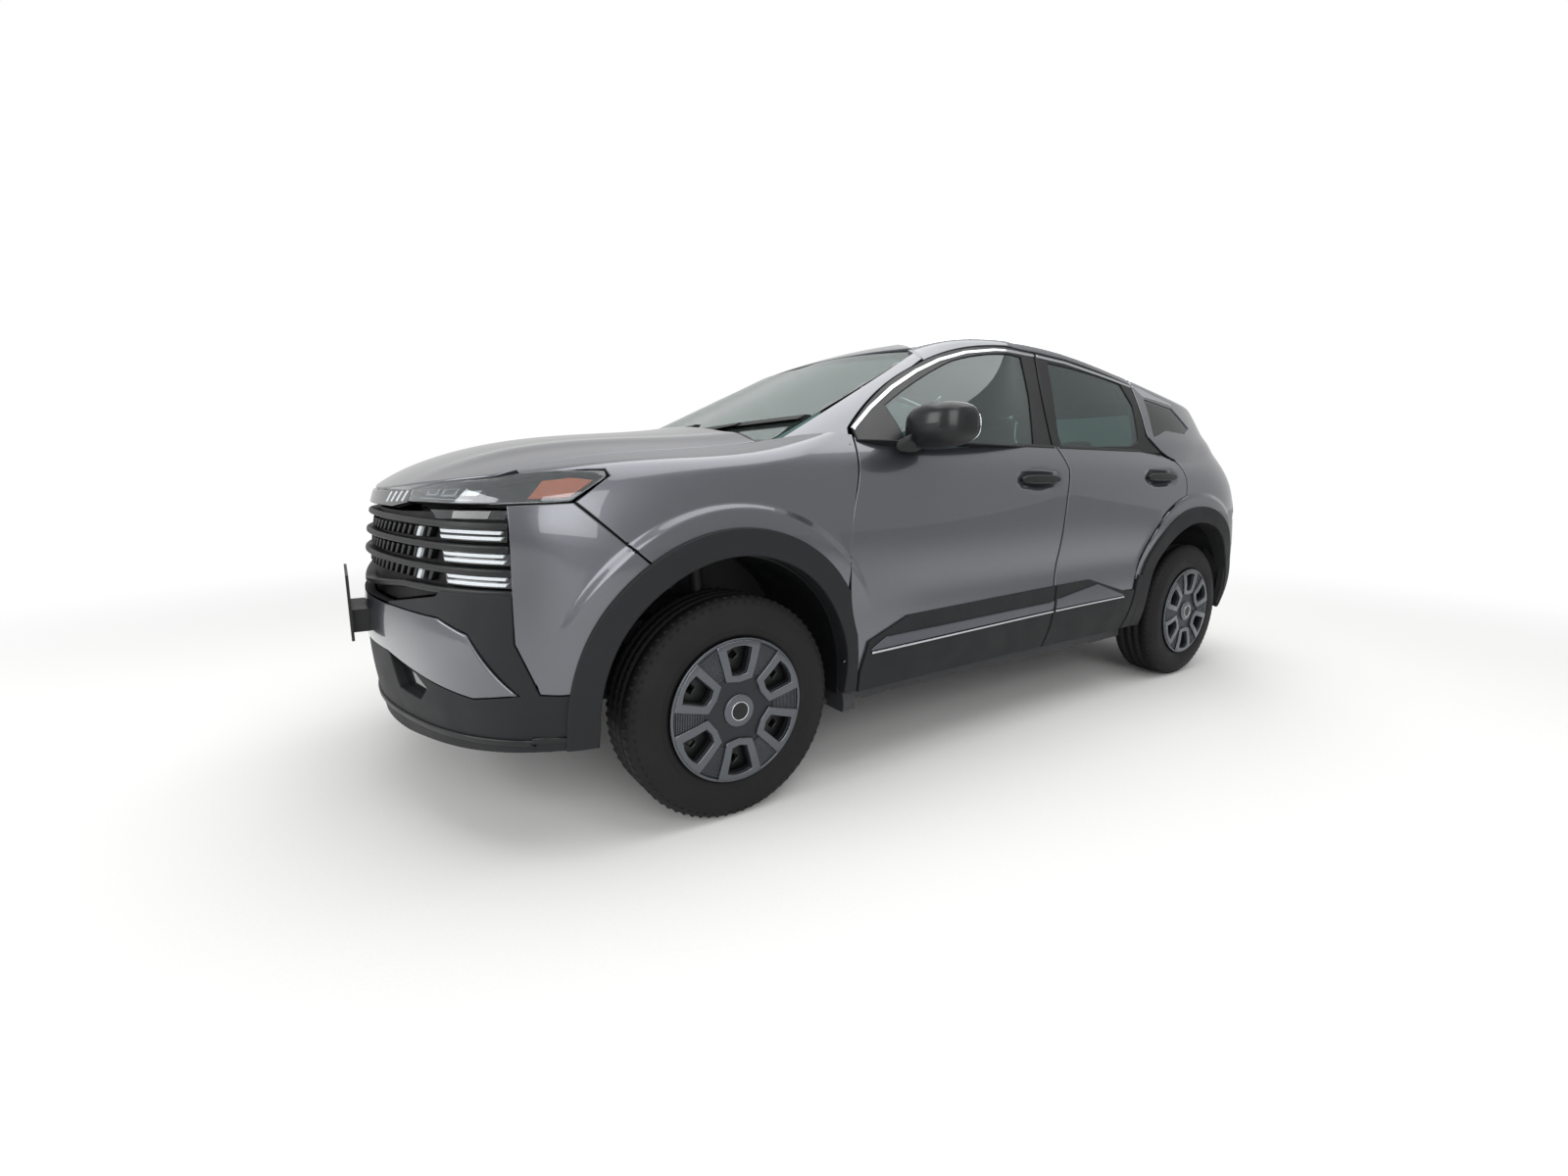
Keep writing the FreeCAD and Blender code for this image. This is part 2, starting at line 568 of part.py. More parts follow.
# Cladding bands round the wheels
bands = []
for x in (0, rear_x):
    band = clad_shell.common(opening(x, g.arch_radius + g.arch_band, -1200, -300)).cut([
        opening(x, g.arch_radius, -1200, -300), box(x - 600, x + 600, -1200, 0, 100, 306)])
    bands += band.cut([side_cut(FRONT_DOOR, gap / 2), side_cut(REAR_HOLE, gap / 2)]).Solids
print("bands", [round(b.Volume / 1e6, 2) for b in bands])
feature("arch_trims", pair(Part.makeCompound(bands)))

# Wheels: closed sections turned about the axle, as (y outwards from the tyre's middle, radius)
SIDES = (("left", -1), ("right", 1))
AXLES = (("front", 0), ("rear", rear_x))


def origin_part(body, role):
    """A body's own origin plane or axis."""
    return next(item for item in body.Origin.OriginFeatures if item.Role == role)


def sketch(body, name, role, points):
    """A closed sketch of lines and arcs on one of the body's origin planes."""
    plan = body.newObject("Sketcher::SketchObject", name)
    plan.AttachmentSupport = (origin_part(body, role), [""])
    plan.MapMode = "FlatFace"
    for edge in outline(points, lambda a, b: Vector(a, b, 0)).Edges:
        ends = [vertex.Point for vertex in edge.Vertexes]
        if isinstance(edge.Curve, Part.Line):
            plan.addGeometry(Part.LineSegment(*ends), False)
        else:
            middle = edge.valueAt((edge.FirstParameter + edge.LastParameter) / 2)
            plan.addGeometry(Part.Arc(ends[0], middle, ends[1]), False)
    return plan


def turned(name, points):
    """A body with one section turned about the car's cross axis."""
    body = doc.addObject("PartDesign::Body", name)
    section = sketch(body, name + "_section", "YZ_Plane", points)
    turn = body.newObject("PartDesign::Revolution", name + "_turn")
    turn.Profile = section
    turn.ReferenceAxis = (section, ["H_Axis"])
    turn.Angle = 360
    doc.recompute()
    return body


def padded(name, role, points, width):
    """A body with one outline padded both ways to a width, a number or an expression."""
    body = doc.addObject("PartDesign::Body", name)
    section = sketch(body, name + "_outline", role, points)
    pad = body.newObject("PartDesign::Pad", name + "_pad")
    pad.Profile = section
    if isinstance(width, str):
        pad.setExpression("Length", width)
    else:
        pad.Length = width
    pad.Midplane = True
    doc.recompute()
    return body


half_tyre = g.tyre_width / 2
rim = g.rim_radius
cover = g.cover_radius
tread = g.tyre_radius
GROOVE = 8
TYRE = (
    (-half_tyre + 12, rim + 0.5), (-half_tyre + 12, cover - 5.5), (-half_tyre + 2, rim + 22),
    (-half_tyre, rim + 60, "via"),
    (-half_tyre + 10, tread - 26), (-half_tyre + 20, tread - 6), (-44, tread), (-42, tread - GROOVE),
    (-32, tread - GROOVE), (-30, tread), (-6, tread), (-4, tread - GROOVE), (4, tread - GROOVE),
    (6, tread), (30, tread), (32, tread - GROOVE), (42, tread - GROOVE), (44, tread),
    (half_tyre - 20, tread - 6), (half_tyre - 10, tread - 26), (half_tyre, rim + 60, "via"),
    (half_tyre - 2, rim + 22), (half_tyre - 12, cover - 5.5), (half_tyre - 12, rim + 0.5),
)
WHEEL = (
    (-half_tyre + 8, rim - 14), (-half_tyre + 8, cover - 6), (-half_tyre + 11.5, cover - 6),
    (-half_tyre + 11.5, rim), (half_tyre - 11.5, rim), (half_tyre - 11.5, cover - 6),
    (half_tyre - 4, cover), (half_tyre + 2, cover - 12), (half_tyre + 4, cover - 60),
    (half_tyre - 2, 88), (half_tyre + 2, 40), (half_tyre + 2, 0), (-10, 0), (-10, g.hub_radius),
    (-4, g.hub_radius), (-4, g.disc_radius), (8, g.disc_radius), (8, g.hub_radius + 6),
    (half_tyre - 28, g.hub_radius + 6), (half_tyre - 18, 88), (half_tyre - 10, cover - 60),
    (half_tyre - 16, rim - 14),
)
HOLE_FAR = 184
HOLE_NEAR = 104
HOLE_HALF = 30


def wheel(name, side):
    """A steel wheel with its six-holed cover; side is -1 on the left and 1 on the right."""
    body = turned(name, [(side * point[0],) + tuple(point[1:]) for point in WHEEL])
    spot = Vector(0, side * (half_tyre - 4), (HOLE_NEAR + HOLE_FAR) / 2)
    window = sketch(body, name + "_window", "XZ_Plane", (
        (-HOLE_HALF, HOLE_NEAR), (HOLE_HALF, HOLE_NEAR), (HOLE_HALF + 12, HOLE_FAR),
        (0, HOLE_FAR + 4, "via"), (-HOLE_HALF - 12, HOLE_FAR)))
    cut = body.newObject("PartDesign::Pocket", name + "_window_cut")
    cut.Profile = window
    cut.Length = half_tyre + 40
    cut.Reversed = side > 0
    doc.recompute()
    if body.Shape.isInside(spot, 0.1, True):
        cut.Reversed = not cut.Reversed
        doc.recompute()
    ring = body.newObject("PartDesign::PolarPattern", name + "_windows")
    ring.Originals = [cut]
    ring.Axis = (origin_part(body, "Y_Axis"), [""])
    ring.Angle = 360
    ring.Occurrences = 6
    body.Tip = ring
    doc.recompute()
    return body


for axle, x in AXLES:
    for side_name, side in SIDES:
        at = Placement(Vector(x, side * g.track_half, axle_z), Rotation())
        tyre = turned(f"{axle}_tyre_{side_name}", TYRE)
        tyre.Placement = at
        keep(tyre, f"{axle}_tyre_{side_name}")
        disc = wheel(f"{axle}_wheel_{side_name}", side)
        disc.Placement = at
        keep(disc, f"{axle}_wheel_{side_name}")

# Steering axis of the left wheel, from the ball joint to the tower
KINGPIN_FOOT = Vector(0, -g.kingpin_foot_y, g.kingpin_foot_z)
KINGPIN_TOP = Vector(0, -g.kingpin_top_y, g.kingpin_top_z)
kingpin = KINGPIN_TOP.sub(KINGPIN_FOOT).normalize()
hub_face = g.track_half - 10 - fit


def on_kingpin(along):
    """A point of the left steering axis, by its distance above the ball joint."""
    return KINGPIN_FOOT.add(Vector(kingpin).multiply(along))


def knuckle():
    """The left knuckle: hub boss, upright, ball-joint boss, steering arm and damper."""
    neck = on_kingpin(300)
    boss = barrel(46, 0, axle_z, -hub_face, -hub_face + 64)
    upright = front_prism((
        (-g.kingpin_foot_y - 16, 212), (-g.kingpin_foot_y + 12, 212), (-674, 420), (-618, 486),
        (-618, 520), (-668, 520), (-712, 430)), -26, 26)
    foot = Part.makeCylinder(19, 26, on_kingpin(fit), kingpin)
    arm = rod(12, (0, -700, 262), (138, -676, 262)).fuse(Part.makeSphere(16, Vector(138, -676, 262)))
    tube = Part.makeCylinder(g.damper_radius + 5, 150, neck.sub(Vector(0, 0, 24)), kingpin)
    shaft = Part.makeCylinder(g.damper_radius, KINGPIN_TOP.sub(neck).Length - fit, neck, kingpin)
    seat = Part.makeCone(58, 52, 10, on_kingpin(560), kingpin)
    return boss.fuse([upright, foot, arm, tube, shaft, seat]).removeSplitter()


upright = knuckle()
print("knuckle", [round(s.Volume / 1e6, 2) for s in upright.Solids])
feature("knuckle_left", upright)
feature("knuckle_right", flip(upright))

# Front suspension: subframe and lower arms to the ball joints
TOWER = 74
lower_arm = plan_prism(((-28, -g.kingpin_foot_y), (28, -g.kingpin_foot_y), (175, -330), (95, -330),
                        (40, -560), (-30, -560), (-60, -330), (-120, -330)), 176, 196)
lower_arm = lower_arm.cut(Part.makeCylinder(24, 60, on_kingpin(-3), kingpin))
ball = Part.makeCylinder(19, 20, on_kingpin(-20), kingpin)
subframe = box(-140, 210, -345, 345, 170, 226).cut(box(-60, 130, -220, 220, 100, 300))
kingpin_length = KINGPIN_TOP.sub(KINGPIN_FOOT).Length
tower = Part.makeCylinder(TOWER, kingpin_length + 26 - 595, on_kingpin(595), kingpin).cut(
    Part.makeCylinder(TOWER - 8, kingpin_length + fit - 500, on_kingpin(500), kingpin))
front_suspension = subframe.fuse([lower_arm, ball, flip(lower_arm), flip(ball)]).removeSplitter()
print("arms", [round(s.Volume / 1e6, 2) for s in front_suspension.Solids])
feature("front_suspension", front_suspension)

# Rear axle: beam, trailing arms, stubs and dampers
stub_end = g.track_half - 10 - fit
half_axle = rod(g.axle_radius, (rear_x, -stub_end, axle_z), (rear_x, -600, axle_z)).fuse([
    box(rear_x - 30, rear_x + 30, -680, -640, axle_z - 90, axle_z + 60),
    rod(24, (rear_x, -655, axle_z - 30), (rear_x - 520, -560, axle_z - 50)),
    rod(20, (rear_x + 20, -650, axle_z - 60), (rear_x + 110, -585, 800)).common(
        opening(rear_x, g.arch_radius - LINER - 2 * fit, -800, -REAR_INNER - LINER)),
])
beam = rod(38, (rear_x - 300, -610, axle_z - 40), (rear_x - 300, 610, axle_z - 40))
rear_axle = half_axle.fuse([flip(half_axle), beam]).removeSplitter()
print("rear axle", [round(s.Volume / 1e6, 2) for s in rear_axle.Solids])
feature("rear_axle", rear_axle)

# Wheel houses: sheets that line the openings, with an inner wall open round the axle

def wheel_house(x, inner_y, slot_top):
    """A lining sheet inside one left wheel opening."""
    ring = opening(x, g.arch_radius - fit, -838, -inner_y)
    ring = ring.cut(opening(x, g.arch_radius - LINER - fit, -1000, -inner_y - LINER))
    slot = box(x - 190, x + 190, -inner_y - 20, -inner_y + 20, 50, slot_top)
    return ring.cut([slot, box(x - 600, x + 600, -1000, 0, 0, 300)])


front_house = wheel_house(0, HOUSE_INNER, 620).cut(
    Part.makeCylinder(TOWER - 8, 400, on_kingpin(500), kingpin)).fuse(tower)
rear_house = wheel_house(rear_x, REAR_INNER, 600).cut(
    box(rear_x - 420, rear_x - 180, -1000, 0, 0, 345))
houses = pair(solids(front_house)).Solids + pair(solids(rear_house)).Solids
print("houses", [round(s.Volume / 1e6, 2) for s in houses])
feature("wheel_houses", Part.makeCompound(houses))

# Floor with its sills, hinge pillars and middle pillars
floor_z = g.floor_top - g.floor_wall
SILL_OUT = 770
PAN_TOP = 420
SILL_IN = 690
FLOOR_FRONT = 396
PAD_DROP = 8
heel_x = rear_x - 700
pan_x = rear_x - 80
arch_x = rear_x - g.arch_radius - 10
floor = box(FLOOR_FRONT + fit, heel_x, -SILL_OUT, SILL_OUT, floor_z, g.floor_top)
sill = box(416, rear_x - 420, -SILL_OUT, -SILL_IN, floor_z, floor_z + g.sill_height)
hinge_post = box(412, 470, -900, -700, floor_z, 1070).common(lower_seat)
middle_post = front_prism((
    (-900, 300), (-720, 300), (-686, 1080), (-612, 1300), (-545, 1640), (-700, 1640), (-900, 1200)),
    g.seam_x - 40, g.seam_x + 62)
middle_post = middle_post.common(lower_seat).fuse(middle_post.common(green_seat)).common(roof_seat)
tunnel = box(416, heel_x, -110, 110, floor_z, g.floor_top + 90).cut(
    box(400, heel_x - 30, -86, 86, floor_z - 10, g.floor_top + 66))
arm_bracket = box(rear_x - 545, rear_x - 490, -600, -520, axle_z - 24 + fit, 400)
risers = [box(1130, 1620, y - 15, y + 15, g.floor_top - 1, g.seat_height - 170 - fit)
          for y in (-560, -180, 180, 560)]
heel = box(heel_x - 24, heel_x, -620, 620, floor_z, PAN_TOP)
BOOT_HALF = REAR_INNER - fit
pan = box(heel_x - 24, arch_x, -620, 620, PAN_TOP - g.floor_wall, PAN_TOP).fuse(
    box(arch_x, pan_x, -BOOT_HALF, BOOT_HALF, PAN_TOP - g.floor_wall, PAN_TOP))
step = box(pan_x - 24, pan_x, -BOOT_HALF, BOOT_HALF, PAN_TOP - g.floor_wall, g.boot_top)
boot = box(pan_x - 24, tail_x - 110, -BOOT_HALF, BOOT_HALF, g.boot_top - g.floor_wall,
           g.boot_top).common(lower_seat)
boot_side = box(rear_x + 410, tail_x - 150, -680, 680, g.boot_top - g.floor_wall, g.boot_top).common(
    lower_seat)
latch_panel = box(tail_x - 200, tail_x, -330, 330, g.boot_top - g.floor_wall, 740).common(lower_seat)
pads = [box(x - 60, x + 60, side * 730 - 30, side * 730 + 30, floor_z - PAD_DROP, floor_z + 1)
        for x in (640, 2060) for side in (-1, 1)]
body_floor = floor.fuse([sill, flip(sill), hinge_post, flip(hinge_post), middle_post,
                         flip(middle_post), tunnel, heel, pan, step, boot, boot_side,
                         latch_panel, arm_bracket, flip(arm_bracket)] + risers + pads)
body_floor = body_floor.removeSplitter()
print("floor", [round(s.Volume / 1e6, 2) for s in body_floor.Solids])
feature("floor_pan", body_floor)

# Bulkhead with the front rails and the beam behind the bumper, and the cowl under the screen
half_rail = box(-645, 385, -455, -385, 440, 540).fuse([
    box(-120, -60, -455, -320, 226 + fit, 445), box(-345, -300, -HOUSE_INNER + fit, -450, 450, 530),
    box(300, 345, -HOUSE_INNER + fit, -450, 450, 530), box(-645, -600, -455, -400, 530, 915),
    Part.makeCylinder(14, 300, Vector(-622, -400, 900)).common(
        hood_out.translated(Vector(0, 0, -g.hood_wall - fit))),
])
structure = box(380, FLOOR_FRONT, -690, 690, 236, 1056).fuse([
    box(200, FLOOR_FRONT, -690, 690, 1040, 1056), half_rail, flip(half_rail),
    box(-700, -645, -455, 455, 440, 540), box(-645, -600, -455, 455, 885, 915),
]).cut([box(300, 500, -115, 115, 200, 370)] + pair(front_opening).Solids).removeSplitter()
print("structure", [round(s.Volume / 1e6, 2) for s in structure.Solids])
feature("front_structure", structure)
COWL_SUNK = 26
screen_foot = greenhouse(g.glass_sunk - fit).common(box(-200, 1300, -900, 900, SCREEN_LOW - fit, 1400))
cowl = hood_out.translated(Vector(0, 0, -g.hood_wall - 5)).common(
    box(130, 330, -690, 690, 1056 + fit, 1400)).fuse(
    hood_out.translated(Vector(0, 0, -COWL_SUNK)).common(box(192, 330, -690, 690, 1056 + fit, 1400)))
cowl = cowl.cut(screen_foot)
cowl = solids(cowl)
print("cowl", [round(s.Volume / 1e6, 2) for s in cowl.Solids])
feature("cowl", cowl)

# Engine bay
engine = padded("engine_block", "XZ_Plane", (
    (-330, 270), (-130, 270), (-130, 226 + fit), (120, 226 + fit), (120, 270), (170, 270), (190, 420),
    (120, 760), (60, 880), (-250, 880), (-330, 760)), 630)
keep(engine, "engine_block")
radiator = padded("radiator", "XZ_Plane", (
    (-645 + fit, 330), (-590, 330), (-590, 880), (-645 + fit, 880)), 760)
keep(radiator, "radiator")

# Under the floor
tank = padded("fuel_tank", "XZ_Plane", (
    (heel_x + 20, 250), (rear_x - 370, 250), (rear_x - 390, PAN_TOP - g.floor_wall - fit),
    (heel_x + 20, PAN_TOP - g.floor_wall - fit)), 900)
keep(tank, "fuel_tank")
pipe_z = floor_z - g.pipe_radius - fit
BOX_Y = -330
route = ((230, 0, pipe_z), (heel_x - 200, 0, pipe_z), (pan_x + 80, -120, pipe_z),
         (rear_x + 260, -250, g.boot_top - 110))
pipes = [rod(g.pipe_radius, start, end) for start, end in zip(route, route[1:])]
pipes += [Part.makeSphere(g.pipe_radius, Vector(*point)) for point in route[1:-1]]
silencer = box(rear_x + 240, rear_x + 520, BOX_Y - 140, BOX_Y + 140, 396, g.boot_top - 24 - fit)
outlet = rod(22, (rear_x + 500, BOX_Y, 440), (rear_x + 640, BOX_Y, 300))
exhaust = silencer.fuse(pipes + [outlet]).removeSplitter()
print("exhaust", [round(s.Volume / 1e6, 2) for s in exhaust.Solids])
feature("exhaust", exhaust)

# Cabin
steering_at = Vector(905, -370, 1000)
lean = Rotation(Vector(0, 1, 0), 90 - g.steering_tilt)
column_axis = lean.multVec(Vector(0, 0, 1))
HUB_BACK = 22
column = Part.makeCylinder(26, 240, steering_at.sub(Vector(column_axis).multiply(HUB_BACK + fit)),
                           Vector(column_axis).multiply(-1))
dash = side_prism((
    (430, 720), (600, 640), (760, 700), (830, 860), (800, 1000), (640, 1075), (480, 1050), (430, 1000)),
    -700 + fit, 700 - fit)
dash = dash.fuse(column).removeSplitter()
feature("dashboard", dash)
console = padded("centre_console", "XZ_Plane", (
    (640, g.floor_top + 90 + fit), (1500, g.floor_top + 90 + fit), (1500, 560), (1180, 570), (900, 600),
    (780, 620), (640, 560)), 200)
keep(console, "centre_console")


def seat(name, x, y, width, back_top, base):
    """A seat: cushion and leaning back in one padded outline."""
    top = g.seat_height
    body = padded(name, "XZ_Plane", (
        (x, base), (x - 20, top - 60), (x + 10, top, "via"), (x + 60, top + 8), (x + 430, top - 20),
        (x + 590, back_top), (x + 640, back_top + 18, "via"), (x + 690, back_top), (x + 560, base)),
        width)
    body.Placement = Placement(Vector(0, y, 0), Rotation())
    return body


keep(seat("front_seat_left", 1080, -370, "sizes.seat_width", 1150, g.seat_height - 170), "front_seat_left")
keep(seat("front_seat_right", 1080, 370, "sizes.seat_width", 1150, g.seat_height - 170), "front_seat_right")
bench = seat("bench", 1960, 0, 1200, 1130, PAN_TOP + fit)
arch_space = doc.addObject("Part::Feature", "arch_space")
arch_space.Shape = pair(opening(rear_x, g.arch_radius + 6, -800, -REAR_INNER + 6))
rear_seat = doc.addObject("Part::Cut", "rear_seat")
rear_seat.Base = bench
rear_seat.Tool = arch_space
doc.recompute()
keep(rear_seat, "rear_seat")

# Steering wheel: rim, three spokes and hub on a leaning column
ring = Part.makeTorus(g.steering_radius, 15)
spokes = [Part.makeBox(g.steering_radius, 34, 16, Vector(0, -17, -8)).rotated(
    Vector(0, 0, 0), Vector(0, 0, 1), turn) for turn in (90, 180, 270)]
hub = Part.makeCylinder(62, 42, Vector(0, 0, -HUB_BACK))
helm = ring.fuse(spokes + [hub]).removeSplitter()
helm.Placement = Placement(steering_at, lean)
print("steering", helm.isValid(), column_axis, [round(v, 1) for v in (
    helm.BoundBox.XMin, helm.BoundBox.XMax, helm.BoundBox.ZMin, helm.BoundBox.ZMax)])
feature("steering_wheel", helm)

# Wipers: blades that lie along the glass, and arms from the cowl
blade_shell = greenhouse(-8).cut(greenhouse(g.glass_sunk - fit))
arm_shell = greenhouse(-14).cut(greenhouse(-8))
# (y, z) of the blade's two ends and of the arm's foot
WIPERS = (((-640, 1198), (-90, 1172), (-130, 1164)), ((20, 1198), (520, 1164), (470, 1156)))
cowl_top = hood_out.translated(Vector(0, 0, fit - COWL_SUNK))
wipers = []
for tip, root, foot in WIPERS:
    run = Vector(0, root[0] - tip[0], root[1] - tip[1]).normalize()
    blade = front_prism((tip, root, (root[0], root[1] + 16), (tip[0], tip[1] + 16)), -100, 700)
    middle = ((tip[0] + root[0]) / 2, (tip[1] + root[1]) / 2 + 4)
    arm = front_prism((middle, foot, (foot[0] + 8, foot[1] + 20), (middle[0], middle[1] + 10)), -100, 700)
    wiper = blade_shell.common(blade).fuse(arm_shell.common(arm)).removeSplitter()
    wipers.append(wiper.cut(cowl_top))
print("wipers", [round(s.Volume / 1e3, 2) for w in wipers for s in w.Solids])
feature("wipers", Part.makeCompound([s for w in wipers for s in w.Solids]))
rear_blade = front_prism(((-30, 1116), (330, 1122), (330, 1134), (-30, 1128)), rear_x + 200, tail_x)
rear_wiper = blade_shell.common(rear_blade)
print("rear wiper", [round(s.Volume / 1e3, 2) for s in rear_wiper.Solids])
feature("rear_wiper", rear_wiper)

# Number plate on its bracket
plate_x = -g.nose_reach - g.plate_stand
bracket = box(plate_x + 8, -g.nose_reach + 60, -110, 110, 530, 600).cut(lower_body(-fit))
feature("front_plate", box(plate_x, plate_x + 8, -152, 152, 512, 712).fuse(bracket).removeSplitter())

doc.recompute()
faults = []
for obj in doc.Objects:
    if "Invalid" in obj.State or "Error" in obj.State:
        faults.append(f"{obj.Label}: {obj.State}")
for obj in nodes:
    if obj.Shape.isNull() or not obj.Shape.isValid() or not obj.Shape.Solids:
        faults.append(f"{obj.Label}: no valid solid")
if faults:
    raise RuntimeError("; ".join(faults))
os.makedirs("parts", exist_ok=True)
for obj in nodes:
    obj.Shape.exportStep(f"parts/{obj.Label}.step")
print(len(nodes), "sub-parts")
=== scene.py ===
"""Crossover SUV: smooth body panels, glass, lamps, wheels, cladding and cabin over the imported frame."""
import logging
import math
from collections.abc import Callable, Sequence
from dataclasses import dataclass, field
from enum import Enum

import bmesh
import bpy
import numpy as np
from mathutils import Matrix, Vector
from mathutils.geometry import delaunay_2d_cdt


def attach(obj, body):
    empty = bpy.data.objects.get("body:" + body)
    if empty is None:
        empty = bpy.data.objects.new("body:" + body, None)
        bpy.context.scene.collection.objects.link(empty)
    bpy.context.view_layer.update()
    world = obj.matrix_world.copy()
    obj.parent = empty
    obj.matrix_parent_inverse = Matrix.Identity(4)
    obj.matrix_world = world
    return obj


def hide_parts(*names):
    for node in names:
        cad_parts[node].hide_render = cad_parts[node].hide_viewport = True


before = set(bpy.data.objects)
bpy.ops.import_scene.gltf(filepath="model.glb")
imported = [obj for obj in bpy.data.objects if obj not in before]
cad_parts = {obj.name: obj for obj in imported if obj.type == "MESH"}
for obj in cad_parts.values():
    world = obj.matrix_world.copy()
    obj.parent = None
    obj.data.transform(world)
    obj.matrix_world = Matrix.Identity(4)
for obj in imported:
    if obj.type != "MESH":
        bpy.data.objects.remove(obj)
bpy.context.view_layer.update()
LOG = logging.getLogger("crossover")
Loop = list[tuple[float, float]]

# Millimetres, x from the front axle to the tail, as in the part's own tables; the vehicle's frame is
# metres with its origin in the middle of its length.
SETBACK = -1288.5
WHEELBASE = 2657.0
NOSE = 870.0
TAIL = 3496.0
ARCH_HALF = 889.0
WAIST_HALF = 862.0
GLASS_FOOT_HALF = 800.0
ROOF_TOP = 1612.0
HOOD_TOP = 1184.0
SEAM_X = 1586.0
HINGE_X = 450.0
AXLE_Z = 336.5
ARCH_Z = 386.5
ARCH_RADIUS = 405.0
ARCH_BAND = 80.0
ARCH_FOOT = 212.0
ARCH_EDGE = 12.0
TRACK_HALF = 780.0
CLADDING_OUT = 11.0
GLASS_SUNK = 5.0
PANE_TUCK = 3.0
FRAME_TRIM = -2.5
PANEL_GAP = 5.0
CROWN_HALF = 800.0
HOOD_HALF = 714.0
CANT_HALF = 528.0
TAIL_CENTRE = 2200.0
TAIL_RADIUS = 900.0
TAIL_MIDDLE = math.pi / 2 * TAIL_RADIUS
# Shares of a rounded nose's or tail's arc at which the skin has knots
QUARTERS = (0, 0.25, 0.5, 0.75, 1)
# Distances from a wheel opening between which the raised flange falls off
FLANGE = (124.0, 130.0, 136.0, 142.0, 148.0, 154.0)
# Halvings when a place on the tail's chart is looked for
TAIL_ROUNDS = 26
# Depth of a surface's grain and of the paint's flakes in metres, and flakes per metre
BUMP_DEPTH = 0.0004
FLAKE_DEPTH = 0.0003
FLAKES_PER_METRE = 1600.0

# The body below the windows as level sections: z, nose, corner x and y, shoulder x and y, steps in from
# the half width at the front arch, hinge, seam, haunch and rear arch, then the quarter, the tail's
# corner and the tail.
LOWER = (
    (230, 32, -560, 129, -400, 59, 39, 54, 62, 74, 39, 420, 69, 620, 229, 99),
    (400, 6, -590, 99, -405, 17, 4, 13, 6, 21, 4, 433, 27, 670, 189, 29),
    (600, 0, -592, 89, -405, 9, 1, 9, 6, 19, 1, 438, 19, 700, 169, 0),
    (800, 14, -588, 91, -400, 11, 0, 7, 0, 13, 0, 433, 23, 680, 189, 49),
    (960, 48, -575, 103, -370, 27, 11, 17, 0, 17, 9, 410, 39, 630, 209, 124),
    (1050, 80, -520, 134, -320, 61, 31, 35, 10, 31, 29, 385, 71, 590, 229, 174),
    (1145, 105, -470, 174, -270, 119, 93, 96, 65, 91, 101, 340, 124, 540, 269, 234),
    (1290, 170, -340, 254, -180, 219, 183, 196, 165, 191, 201, 260, 220, 450, 349, 344),
)
# The greenhouse as level sections: z, screen's middle, screen's edge x and y, pillar x and y, seam, then
# the quarter x and y, the corner x and y, and the back.
GREEN = (
    (1095, 105, 175, 95, 300, 12, 0, 290, 14, 530, 180, 620),
    (1300, 513, 603, 160, 760, 84, 74, 243, 92, 430, 232, 512),
    (1500, 913, 1005, 228, 1130, 178, 155, 190, 196, 340, 300, 403),
    (1650, 1213, 1290, 280, 1385, 245, 222, 150, 266, 275, 352, 330),
)
# Crowns: x, step of the middle from the lid's top, drop at CROWN_HALF from the middle
HOOD = ((-930, -330, 80), (-812, -216, 82), (-647, -124, 84), (-348, -50, 88), (127, 0, 92), (330, 40, 92),
        (560, 100, 92))
ROOF = ((60, -310, 60), (500, -222, 60), (860, -126, 60), (1100, -46, 62), (1400, -3, 70), (1800, 0, 86),
        (2250, -36, 130), (2700, -88, 165), (3120, -148, 170), (3420, -200, 170))


def cubic(knots: np.ndarray, values: np.ndarray, at: np.ndarray) -> np.ndarray:
    """Evaluate the natural cubic spline through (knots, values).

    Args:
        knots: Rising knot positions, shape (n,).
        values: Values at the knots, shape (n, ...).
        at: Positions to evaluate, shape (m,).

    Returns:
        The values there, shape (m, ...).
    """
    knots = np.asarray(knots, float)
    values = np.asarray(values, float)
    flat = values.reshape(len(knots), -1)
    step = np.diff(knots)
    count = len(knots)
    system = np.eye(count)
    right = np.zeros_like(flat)
    for row in range(1, count - 1):
        system[row, row - 1] = step[row - 1]
        system[row, row] = 2 * (step[row - 1] + step[row])
        system[row, row + 1] = step[row]
        right[row] = 6 * ((flat[row + 1] - flat[row]) / step[row]
                          - (flat[row] - flat[row - 1]) / step[row - 1])
    bend = np.linalg.solve(system, right)
    at = np.asarray(at, float)
    cell = np.clip(np.searchsorted(knots, at) - 1, 0, count - 2)
    h = step[cell][:, None]
    a = (knots[cell + 1] - at)[:, None] / h
    b = 1 - a
    out = (a * flat[cell] + b * flat[cell + 1]
           + ((a ** 3 - a) * bend[cell] + (b ** 3 - b) * bend[cell + 1]) * h ** 2 / 6)
    return out.reshape((len(at),) + values.shape[1:])


